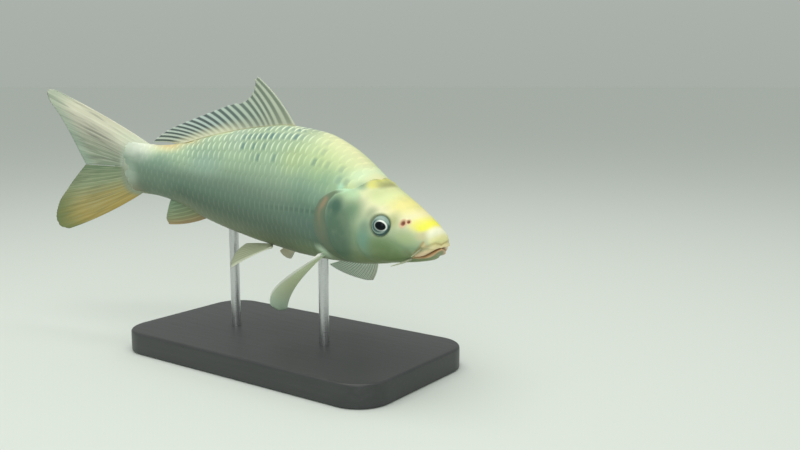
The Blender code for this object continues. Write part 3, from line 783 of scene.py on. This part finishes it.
def girth_angle(s, down):
    """The angle that lies this far down from the back, over the skin. It may pass the belly."""
    whole = np.interp(s, arc_s, arc_end)
    folded = np.where(down > whole, 2 * whole - down, np.abs(down))
    i = np.clip((s - arc_s[0]) / (arc_s[1] - arc_s[0]), 0, len(arc_s) - 1.001)
    j = np.clip(folded / arc_even[1], 0, len(arc_even) - 1.001)
    i0, j0 = i.astype(int), j.astype(int)
    fi, fj = i - i0, j - j0
    found = (angle_even[i0, j0] * (1 - fi) + angle_even[i0 + 1, j0] * fi) * (1 - fj)
    found += (angle_even[i0, j0 + 1] * (1 - fi) + angle_even[i0 + 1, j0 + 1] * fi) * fj
    return np.where(down > whole, 360 - found, found * np.where(down < 0, -1, 1))


# One scale, lying flat: x runs from the root (0) to the free edge (1), w from side to side
across_scale = np.array([-1, -0.88, -0.62, -0.32, 0, 0.32, 0.62, 0.88, 1])
along_scale = np.array([0, 0.42, 0.72, 0.93, 1])
many, final = len(across_scale), (len(along_scale) - 1) * len(across_scale)
plate_x = (along_scale[:, None] * (0.5 + 0.5 * np.sqrt(1 - across_scale**2))).ravel()
plate_w = np.tile(across_scale, len(along_scale))
plate_rim = np.repeat(along_scale == 1, many) | (np.abs(plate_w) == 1)
plate_faces = [
    (r + c, r + many + c, r + many + c + 1, r + c + 1)
    for r in range(0, final, many) for c in range(many - 1)
]
plate_faces += [(c, c + 1, final + c + 1, final + c) for c in range(1, many - 2)]
plate_faces += [(0, 1, final + 1, *range(final, 0, -many))]
plate_faces += [(many - 2, many - 1, *range(2 * many - 1, final + many, many), final + many - 2)]

scales = {"left": [], "right": [], "ridge": []}  # the s of the root, the row and the side of each
for row in SCALE_ROWS:
    for k in ALONG:
        root = FIRST + (k + 0.5 * (row % 2)) * PITCH
        free = root + SEEN * SCALE_LONG
        pitch = curve(ROW, free) * MM
        down = np.interp(free, arc_s, arc_lateral) - row * pitch
        if not 0.42 * pitch < down < np.interp(free, arc_s, arc_end) - 0.42 * pitch:
            continue
        angle = girth_angle(free, down)
        flesh_end = curve(FLESH_END, flank(free, angle)[2])
        if head_end(angle) + 0.004 <= free <= flesh_end - 0.012:
            scales["left"].append((root, row, 1))
            scales["right"].append((root, row, -1))
for k in ALONG:
    root = FIRST + (k + 0.25) * PITCH
    free = root + SEEN * SCALE_LONG
    if 0.21 < free < DORSAL_FROM or DORSAL_TO + 0.02 < free < 0.975:
        scales["ridge"].append((root, MIDLINE, 1))
    if 0.245 < free < 0.93:
        scales["ridge"].append((root, -MIDLINE, 1))

# Scales with a dark heart: s, z and radius of the patch in thousandths, and strength
SPOTS = (
    (600, 108, 26, 0.8), (562, 115, 26, 0.9), (525, 124, 28, 1), (480, 137, 28, 0.9),
    (450, 132, 22, 0.9), (450, 149, 22, 0.8), (566, 87, 18, 0.6), (541, 88, 20, 0.8),
    (484, 96, 18, 0.6), (347, 93, 16, 0.8), (323, 94, 12, 0.5), (354, 128, 16, 0.5),
    (278, 90, 13, 0.5), (252, 80, 13, 0.6), (268, 71, 12, 0.4), (505, 142, 24, 0.7),
    (545, 133, 22, 0.6), (425, 146, 20, 0.6),
)

coat_finish, shader, start = finish_of("koi_scale", Roughness=0.46, Specular_IOR_Level=0.3)
body, girth, local = start.tag("body"), start.tag("girth", "Fac"), start.tag("scale")
s_at, along, across, luck = body.part(0), local.part(0), local.part(1), local.part(2)
aside = across.maths("ABSOLUTE", across)
off_heart = along - 0.62
off_heart = off_heart.maths("ABSOLUTE", off_heart)
colour = ground(body, girth)
dark, *others = (patch(start.tag("root"), *shape, 0.6) * strength for *shape, strength in SPOTS)
for spot in others:
    dark = dark.most(spot)
dark = dark * (0.55 + 0.45 * luck.smooth(0.15, 0.5))
dark = dark * (1 - aside.smooth(0.2, 0.7)) * (1 - off_heart.smooth(0.06, 0.24))
margin = along.smooth(0.79, 0.92)
bold = s_at.smooth(0.33, 0.46) * (1 - s_at.smooth(0.74, 0.9)) * (1 - girth.smooth(0.2, 0.44))
# Each scale is darker from its root up to near its pale edge, just behind the free edge of the
# scale in front: partly its own pigment, partly painted shade under that edge.
pocket_pigment_and_shade = (1 - margin) * (0.05 + 0.34 * bold + 0.07 * luck)
colour = pocket_pigment_and_shade.mix(colour, (8, 19, 13))
colour = (margin * (0.04 + bold * (0.3 + 0.22 * luck))).mix(colour, (84, 95, 76))
# On the lateral line, where luck is over 1, each scale has a pore
pore = luck.maths("GREATER_THAN", luck, 1.0) * (1 - aside.smooth(0.1, 0.35))
pore = pore * (1 - off_heart.smooth(0.1, 0.25)) * (1 - s_at.smooth(0.4, 0.6))
colour = (pore * 0.3).mix(colour, (6, 10, 8))
colour = (dark * 0.85).mix(colour, (10, 21, 22))
feed(shader, "Base Color", colour)
bump(shader, along.maths("SINE", along * 90), 0.00004, 0.35)

draw = np.random.default_rng(7)
for side_name, found in scales.items():
    root, row, side = np.array(found, float).T
    luck = draw.random(len(found)) + (row == 0)
    shift = draw.normal(0, 0.1 * MM, len(found))
    length = SCALE_LONG * (1 + draw.normal(0, 0.015, len(found)))
    s = (root + shift)[:, None] + plate_x * length[:, None]
    row = row[:, None]
    on_midline = np.abs(row) == MIDLINE
    half = SCALE_HALF * curve(ROW, root + SEEN * SCALE_LONG)[:, None] * MM
    half = half * np.where(on_midline, 1.05, 1)
    line = np.interp(s, arc_s, arc_lateral) - row * curve(ROW, s) * MM
    line = np.where(on_midline, np.where(row > 0, 0, np.interp(s, arc_s, arc_end)), line)
    angle = girth_angle(s, line + plate_w * (1 - 0.1 * (1 - plate_x)) * half) * side[:, None]
    folded = np.minimum(np.abs(angle) % 360, 360 - np.abs(angle) % 360) / 180
    # The plates lie flatter behind the head, on the belly and toward the tail
    stand = (0.3 + 0.7 * rise(s, 0.3, 0.48)) * (1 - 0.85 * rise(s, 0.74, 0.93))
    stand = stand * (1 - 0.65 * rise(folded, 0.36, 0.62))
    lift = -ROOT_DEEP * (1 - plate_x) - DOME * plate_w**2 - LIP * plate_rim
    straight = flank(s, angle, (lift * stand - 0.05 - 0.15 * (1 - stand)) * MM)
    count, each = s.shape
    mesh = bpy.data.meshes.new("scales_" + side_name)
    faces = [tuple(v + each * k for v in face) for k in range(count) for face in plate_faces]
    mesh.from_pydata(bend(straight).reshape(-1, 3).tolist(), [], faces)
    coat = bpy.data.objects.new("scales_" + side_name, mesh)
    bpy.context.scene.collection.objects.link(coat)
    flat = [np.broadcast_to(value, s.shape) for value in (plate_x, plate_w, luck[:, None])]
    at_root = np.repeat(straight[:, [2 * many + many // 2]], each, 1)
    tags = {"body": straight, "root": at_root, "scale": np.stack(flat, -1)}
    carry(mesh, {tag: values.reshape(-1, 3) for tag, values in tags.items()})
    carry(mesh, {"girth": folded.ravel()})
    # The bake's map: each scale is a small patch at its root's place on the unrolled skin
    unrolled = np.stack([root, (angle[:, many // 2] / 360) % 1], -1)[:, None]
    unrolled = unrolled + BAKE_PATCH * np.stack([plate_x - 0.5, plate_w / 2], -1)
    corners = np.empty(len(mesh.loops), int)
    mesh.loops.foreach_get("vertex_index", corners)
    bake_map = mesh.uv_layers.new(name="OFBake")
    bake_map.data.foreach_set("uv", unrolled.reshape(-1, 2)[corners].ravel())
    coat.select_set(True)
    bpy.context.view_layer.objects.active = coat
    settle()
    bpy.ops.object.shade_smooth_by_angle(angle=math.radians(35))
    mesh.materials.append(coat_finish)
    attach(coat, "root")
    coat.select_set(False)


# ---- Eyes ----
# A hard ball set in the socket, with a black pupil that bulges a little, a bright ring round it, a
# dark blue-grey iris, pale at the top, a pale hem, and a dark rim of painted shade where it sinks
# into the socket. Places on it are in millimetres.
PUPIL, PUPIL_WIDE, PUPIL_TALL = (1.3, -0.05), 3.0, 2.15
EYE_ROWS, EYE_ROUND = 48, 64
eye_finish, shader, start = finish_of("koi_eye", Roughness=0.12, Specular_IOR_Level=0.14)
spot = start.tag("eye")
fore, up = spot.part(0), spot.part(1)


def oval(x, y, wide, tall):
    """1 on the edge of an oval of these radii round this place on the eye, and less inside."""
    level, upright = (fore - x) / wide, (up - y) / tall
    return start.maths("SQRT", level * level + upright * upright)


ring = oval(0.15, 0, 1.04, 1.0)
fleck = spot.noise(2.2, 3.0)
colour = fleck.smooth(0.4, 0.75).mix((7, 14, 14), (13, 22, 20))
colour = (up.smooth(0.8, 3.2) * 0.8).mix(colour, (32, 45, 38))
below = (1 - fore.smooth(0.5, 3.0)).most(1 - up.smooth(-3.0, -0.5))
hem = ring.smooth(3.6, 3.9) * (1 - ring.smooth(4.3, 4.6)) * below
colour = (hem * 0.8).mix(colour, (34, 45, 39))
# The dark outer ring, wider below, is painted shade where the ball sinks into its socket. The back
# of the ball takes this colour too.
colour = (ring.smooth(4.5, 4.8) * (1 - up.smooth(0.5, 3.0)) * 0.8).mix(colour, (5, 10, 9))
lit = 0.35 + 0.65 * fore.smooth(-1.8, 0.8) * up.smooth(-2.6, -0.4)
colour = ((1 - oval(1.25, 0.05, 3.6, 3.0).smooth(0.93, 1.05)) * lit).mix(colour, (84, 90, 84))
colour = ring.smooth(5.05, 5.3).mix(colour, (16, 22, 18))
colour = oval(*PUPIL, PUPIL_WIDE, PUPIL_TALL).smooth(0.93, 1.05).mix((0.3, 0.6, 0.8), colour)
feed(shader, "Base Color", colour)

down_cheek = flank(EYE_S, EYE_ANGLE + 1) - EYE_PLACE
back_cheek = flank(EYE_S + 0.004, EYE_ANGLE) - EYE_PLACE
axis = unit(np.cross(back_cheek, down_cheek))
axis *= np.sign(axis[1])
ahead = unit(-back_cheek)
ahead = unit(ahead - axis * (ahead @ axis))
above = np.cross(ahead, axis)
above *= np.sign(above[2])
tilt, spin = np.meshgrid(
    np.linspace(0, math.pi, EYE_ROWS + 1), np.linspace(0, 2 * math.pi, EYE_ROUND + 1), indexing="ij"
)
wide = np.sin(tilt) * EYE_RADIUS / MM
facing = np.stack([wide * np.cos(spin), wide * np.sin(spin), np.cos(tilt) * 6], -1)
off = np.hypot(facing[..., 0] - PUPIL[0], facing[..., 1] - PUPIL[1])
swell = 0.16 * (1 - rise(off, 1.9, 2.7)) - 0.08 * bell((off - 3.1) / 0.5)
swell = np.where(tilt < math.pi / 2, swell, 0)
facing[tilt > math.pi / 2] = (5.5, 0, -1)  # the back of the ball has the colour of the rim
around = ahead * np.cos(spin)[..., None] + above * np.sin(spin)[..., None]
ball = axis * np.cos(tilt)[..., None] + around * np.sin(tilt)[..., None]
ball = EYE_PLACE + axis * (EYE_PROUD - EYE_RADIUS) + (EYE_RADIUS + swell * MM)[..., None] * ball
for side_name, side in SIDES:
    shaped_grid("eye_ball_" + side_name, hold(ball * [1, side, 1], EYE_S), {"eye": facing},
                eye_finish, ("eye_" + side_name,))


# ---- Barbels ----
# Two soft feelers at each corner of the mouth, the upper ones short. They taper to a round tip.
BARBEL_FROM, BARBEL_ROWS, BARBEL_ROUND = 0.1, 40, 16
barbel_finish, shader, start = finish_of("koi_barbel", Roughness=0.45)
feed(shader, "Base Color", start.tag("along", "Fac").mix((30, 31, 21), (60, 66, 46)))


def feeler(name, stations, thick, replaced):
    """A tapered round feeler, stiff with the head."""
    line = route(stations, BARBEL_ROWS)
    run = np.gradient(line, axis=0)
    side = unit(np.cross(run, [0, 0, 1.0]))
    over = unit(np.cross(side, run))
    t = np.linspace(0, 1, len(line))
    tip = np.sqrt(np.clip(1 - ((t - 0.94) / 0.06).clip(0) ** 2, 0, 1))
    radius = thick * MM * (1 - 0.62 * t) * tip
    radius[0] = 0
    turn = np.linspace(0, 2 * math.pi, BARBEL_ROUND + 1)[:, None]
    ring = side[:, None] * np.cos(turn) + over[:, None] * np.sin(turn)
    points = line[:, None] + ring * radius[:, None, None]
    tags = {"along": np.repeat(t[:, None], len(turn), 1)}
    shaped_grid(name, hold(points, BARBEL_FROM), tags, barbel_finish, (replaced,))


CORNER_BARBEL = shares((60, 34, -40), (71, 43, -49), (87, 47, -58), (106, 48, -68))
LIP_BARBEL = shares((36, 37, -13), (43, 43, -22), (56, 43, -34))
for kind, stations, thick in (("corner", CORNER_BARBEL, 0.62), ("lip", LIP_BARBEL, 0.42)):
    for side_name, side in SIDES:
        press = 0.12 * (kind == "lip" and side > 0)  # the water presses this one to the face
        mirrored = [(s + 0.05 * press, side * y * (1 - press), z) for s, y, z in stations]
        feeler(f"feeler_{kind}_{side_name}", mirrored, thick, f"barbel_{kind}_{side_name}")


# ---- Fins on the middle line ----
# Fans of jointed rays with a thin web between them, rooted in the back, the belly and the end of
# the tail stalk. On a fin, a runs from the leading edge to the trailing edge, and b from root to
# tip. The tables hold a, s and z for the rays' roots and tips.
PER_RAY = 8  # rows of the mesh
WEB = 0.09  # mm, half its thickness
DORSAL_ROOT = shares(
    (0, 480, 150), (110, 538, 144), (280, 590, 137), (440, 652, 124), (560, 692, 114),
    (720, 740, 101), (890, 788, 86), (1000, 832, 73),
)
DORSAL_TIP = shares(
    (0, 614, 257), (50, 622, 249), (110, 624, 229), (170, 632, 213), (280, 661, 190),
    (330, 687, 185), (440, 726, 170), (610, 790, 143), (780, 852, 115), (890, 884, 96),
    (1000, 912, 73),
)
ANAL_ROOT = shares((0, 738, -98), (500, 790, -80), (1000, 838, -62))
ANAL_TIP = shares((0, 868, -133), (300, 877, -118), (650, 870, -94), (1000, 858, -66))
UPPER_TAIL_ROOT = shares(
    (0, 914, 62), (120, 955, 62), (300, 985, 52), (600, 1000, 30), (1000, 1005, 4.2),
)
UPPER_TAIL_TIP = shares(
    (0, 1222, 192), (50, 1245, 193), (120, 1256, 184), (200, 1250, 166), (350, 1221, 134),
    (650, 1172, 76), (1000, 1118, 4.2),
)
LOWER_TAIL_ROOT = shares((0, 940, -56), (200, 972, -50), (600, 995, -26), (1000, 1005, 3))
LOWER_TAIL_TIP = shares(
    (0, 1193, -176), (80, 1225, -173), (180, 1242, -148), (350, 1232, -114), (650, 1186, -62),
    (1000, 1118, 3),
)


def middle_fin(root, tip, bow, wave):
    """place(a, b) for a fin on the middle line: bow curves its first and last rays, wave swings
    its edge."""

    def place(a, b):
        start, end = (
            np.stack([curve(line[:, [0, 1]], a), 0 * a, curve(line[:, [0, 2]], a)], -1)
            for line in (root, tip)
        )
        ray = end - start
        arch = (bow[0] + (bow[1] - bow[0]) * a) * 4 * b * (1 - b)
        lift = np.stack([-ray[..., 2], 0 * a, ray[..., 0]], -1) * arch[..., None]
        point = start + ray * b[..., None] + lift
        point[..., 1] = wave * b * b * np.sin(math.pi * (0.2 + 1.1 * a))
        return bend(point)

    return place


def fin(name, place, rays, finish, replaced, base=1.2, ray_thick=0.42, forks=0.5, rows=34,
        notch=0.03, rib=0.13):
    """A fin's blade, both faces in one closed sheet, ribbed by its rays. base and ray_thick are in
    millimetres. The rays fork past forks, rib is how much of the blade each takes, and notch is how
    far the edge dips between them."""
    q = np.linspace(0, 2, 2 * rays * PER_RAY + 1)
    b = np.linspace(0, 1, rows + 1) ** 0.9
    a, b = np.meshgrid(np.where(q > 1, 2 - q, q), b, indexing="ij")
    from_ray = np.abs((a * rays + 0.5) % 1 - 0.5)
    split = 0.24 * rise(b, forks, forks + 0.45)
    ridge = bell((from_ray - split) / rib)
    bar = ray_thick * (1 - 0.62 * b) * (1 - 0.3 * rise(b, forks, 1))
    fleshy = base * np.exp(-b / 0.07)
    edge = np.clip(np.minimum(a, 1 - a) * rays * 2.5, 0, 1) ** 0.5
    half = (WEB + bar * ridge / 2 + fleshy / 2) * edge * np.clip((1 - b) / 0.02, 0, 1) ** 0.5
    half[:, 0] = 0
    sheet = place(a, b * (1 - notch * (1 - bell((from_ray - split) / 0.25)) * b))
    sideways = place(np.clip(a + 0.01, 0, 1), b) - place(np.clip(a - 0.01, 0, 1), b)
    tipward = place(a, np.clip(b + 0.02, 0, 1)) - place(a, np.clip(b - 0.02, 0, 1))
    normal = unit(np.cross(sideways, tipward), 1e-15)
    face = np.where(q > 1, -1, 1)[:, None]
    points = sheet + normal * (half * 0.001 * face)[..., None]
    tags = {"fin": np.stack([a, b, ridge * (1 - 0.5 * split)], -1)}
    shaped_grid(name, points, tags, finish, (replaced,))


def fin_finish(name, web, rib, base, clear=0.0, streaks=(), extra=None, base_far=0.16):
    """A fin's material. web and rib are colours from the leading edge to the trailing edge, and
    base is one that reaches out to base_far. Each streak lies along the rays: how many fit across
    the fin, its colour and its strength. clear is how far the web is seen through."""
    made, shader, start = finish_of(name, Roughness=0.5, Specular_IOR_Level=0.25)
    place = start.tag("fin")
    a, b, ridge = (place.part(axis) for axis in range(3))
    colour = ridge.smooth(0.15, 0.75).mix(a.ramp(web), a.ramp(rib))
    for many, tint, strength in streaks:
        lines = start.add("Mapping", {"Vector": place, "Scale": (many, 1.6, 0)}).noise(1.0, 3.0)
        colour = (lines.smooth(0.48, 0.66) * strength).mix(colour, tint)
    colour = (1 - b.smooth(0.02, base_far)).mix(colour, base)
    if extra:
        colour = extra(a, b, colour)
    feed(shader, "Base Color", colour)
    if clear:
        feed(shader, "Alpha", 1 - clear * (1 - ridge.smooth(0.1, 0.6)) * b.smooth(0.05, 0.2))
    bump(shader, b.maths("SINE", b * 260) * ridge, 0.00005, 0.4)
    return made


def pale_foot(a, b, colour):
    foot = (1 - b.smooth(0.08, 0.5)) * (0.35 + 0.5 * a.smooth(0.25, 0.6))
    return foot.mix(colour, a.smooth(0.2, 0.6).mix((48, 50, 38), (78, 78, 56)))


def pale_root(a, b, colour):
    colour = (b.smooth(0.66, 0.95) * 0.5).mix(colour, (36, 50, 39))
    root = (1 - a.smooth(0.1, 0.55)) * (1 - b.smooth(0.08, 0.34))
    return (root * 0.9).mix(colour, (80, 85, 66))


def dark_tip(a, b, colour):
    return (b.smooth(0.6, 1.0) * (1 - a.smooth(0.3, 0.8)) * 0.8).mix(colour, (15, 21, 8))


dorsal_finish = fin_finish(
    "koi_dorsal_fin",
    web=((0, 26, 32, 24), (20, 19, 25, 20), (40, 14, 20, 18), (60, 11, 15, 14.5),
         (100, 12, 16, 14)),
    rib=((0, 58, 64, 51), (30, 50, 60, 49), (60, 52, 64, 59), (100, 62, 70, 61)),
    base=(70, 66, 42), clear=0.1, extra=pale_foot, base_far=0.1,
)
fin("fin_dorsal", middle_fin(DORSAL_ROOT, DORSAL_TIP, (0.05, 0.04), 0.01), 19, dorsal_finish,
    "dorsal_fin", base=2.4, forks=2, rib=0.27)

anal_finish = fin_finish(
    "koi_anal_fin",
    web=((0, 37, 27, 13), (30, 26, 30, 16), (100, 20, 33, 21)),
    rib=((0, 44, 32, 16), (30, 33, 38, 22), (100, 26, 40, 27)),
    base=(17, 23, 15), clear=0.1,
)
fin("fin_anal", middle_fin(ANAL_ROOT, ANAL_TIP, (-0.05, 0), 0.004), 7, anal_finish, "anal_fin",
    base=2.2)

tail_upper = fin_finish(
    "koi_tail_upper",
    web=((0, 78, 77, 58), (16, 84, 82, 64), (35, 48, 48, 39), (70, 29, 34, 25),
         (100, 25, 32, 23)),
    rib=((0, 84, 84, 66), (16, 88, 87, 70), (35, 57, 56, 46), (70, 38, 42, 32),
         (100, 30, 37, 27)),
    base=(42, 50, 40), streaks=((14, (14, 15, 12), 0.5), (30, (70, 72, 60), 0.3)),
    extra=pale_root, base_far=0.12,
)
tail_lower = fin_finish(
    "koi_tail_lower",
    web=((0, 42, 32, 9), (35, 37, 32, 12), (65, 28, 34, 20), (100, 16, 24, 14)),
    rib=((0, 49, 38, 12), (35, 44, 39, 17), (65, 37, 42, 26), (100, 24, 31, 20)),
    base=(27, 32, 22), streaks=((12, (12, 15, 8), 0.35), (28, (50, 54, 36), 0.3)),
    extra=dark_tip, base_far=0.12,
)
for lobe, root, tip, bow, finish in (
    ("upper", UPPER_TAIL_ROOT, UPPER_TAIL_TIP, 0.02, tail_upper),
    ("lower", LOWER_TAIL_ROOT, LOWER_TAIL_TIP, -0.03, tail_lower),
):
    fin("fin_tail_" + lobe, middle_fin(root, tip, (bow, 0), 0.008), 12, finish, "tail_fin_" + lobe,
        base=0.6, ray_thick=0.26, rows=48, notch=0.012)


# ---- Paired fins ----
# The pectorals behind the gills and the pelvics under the belly: soft fans that turn as one with
# the body at their root. Each lead and trail is the way that its first or last ray points: back,
# out and up. bow is how far the water bends the tips; it comes late on the ray where late is high.
NEAR_SHAPE = ((0, 0.96), (0.2, 1.0), (0.6, 1.0), (1, 0.94))
PECTORAL_SHAPE = ((0, 0.97), (0.15, 1.0), (0.5, 0.97), (0.8, 0.9), (1, 0.82))
PELVIC_SHAPE = ((0, 1.0), (0.15, 0.99), (0.4, 0.9), (0.7, 0.76), (1, 0.58))


def fan(root, run, lead, trail, bow, late, length, shape, side):
    """place(a, b) for a paired fin on this side."""
    root, run, bow = (np.array(value, float) for value in (root, run, bow))
    lead, trail = unit(lead), unit(trail)
    opening = math.acos(lead @ trail)

    def place(a, b):
        ray = (length * curve(shape, a))[..., None]
        a, b = a[..., None], b[..., None]
        way = (lead * np.sin((1 - a) * opening) + trail * np.sin(a * opening)) / math.sin(opening)
        bent = bow * ray * b ** (late[0] + (late[1] - late[0]) * a)
        return hold((root + run * (a - 0.5) + way * ray * b + bent) * [1, side, 1], root[0])

    return place


def bright_edge(a, b, colour):
    return ((1 - a.smooth(0.02, 0.16)) * 0.9).mix(colour, (80, 84, 66))


def white_lead(a, b, colour):
    colour = (b.smooth(0.6, 1.0) * 0.6).mix(colour, (66, 88, 76))
    band = 1 - (a - 0.3 * (1 - b)).smooth(0.0, 0.1)
    return (band * 0.95).mix(colour, (96, 98, 90))


for kind, side_name, side, rays, look, values in (
    ("pectoral", "right", -1, 15,
     {"web": ((0, 74, 82, 58), (50, 61, 69, 44), (100, 56, 64, 40)),
      "rib": ((0, 89, 94, 74), (50, 79, 86, 61), (100, 74, 81, 56)),
      "base": (54, 70, 50), "clear": 0.18, "extra": white_lead},
     ((0.299, 0.058, -0.09), (0.004, -0.024, 0.001), (0.22, 0.95, -0.545), (0.3, 0.64, -0.74),
      (0.22, -0.45, -0.195), (4.6, 3.3), 0.187, NEAR_SHAPE)),
    # The far pectoral lies in the body's shade and is painted paler than the near one: painted
    # light standing in for light that shines through the fin.
    ("pectoral", "left", 1, 15,
     {"web": ((0, 70, 90, 68), (50, 66, 90, 68), (100, 66, 90, 68)),
      "rib": ((0, 97, 100, 86), (50, 94, 100, 86), (100, 90, 100, 84)),
      "base": (68, 84, 62), "clear": 0.4, "extra": bright_edge},
     ((0.292, 0.058, -0.09), (0.022, 0, -0.028), (0.15, 0.74, -0.66), (0.76, 0.46, -0.47),
      (0.22, -0.26, -0.06), (2, 2), 0.18, PECTORAL_SHAPE)),
    ("pelvic", "right", -1, 9,
     {"web": ((0, 42, 46, 31), (50, 36, 40, 26), (100, 29, 33, 22)),
      "rib": ((0, 52, 56, 40), (50, 46, 50, 34), (100, 38, 42, 29)),
      "base": (22, 25, 15), "clear": 0.08, "extra": bright_edge},
     ((0.505, 0.034, -0.126), (0.012, -0.012, 0.004), (0.88, 0.13, -0.45), (0.975, 0.12, -0.12),
      (-0.06, -0.08, -0.05), (2, 2), 0.158, PELVIC_SHAPE)),
    # The far pelvic is painted much paler than the near one: painted light standing in for light
    # that shines through it in the shade of the belly.
    ("pelvic", "left", 1, 9,
     {"web": ((0, 98, 92, 66), (50, 96, 90, 62), (100, 94, 88, 58)),
      "rib": ((0, 100, 96, 72), (50, 98, 94, 68), (100, 96, 92, 64)),
      "base": (86, 76, 54), "clear": 0.2, "extra": bright_edge},
     ((0.505, 0.034, -0.126), (0.012, -0.012, 0.004), (0.57, 0.62, -0.53), (0.7, 0.48, -0.54),
      (0.06, -0.05, 0.03), (2, 2), 0.15, PELVIC_SHAPE)),
):
    nearness = {"right": "near", "left": "far"}[side_name]
    fin(f"{kind}_{side_name}", fan(*values, side), rays,
        fin_finish(f"koi_{kind}_{nearness}", **look), f"{kind}_fin_{side_name}",
        base=2.2, notch=0.025)
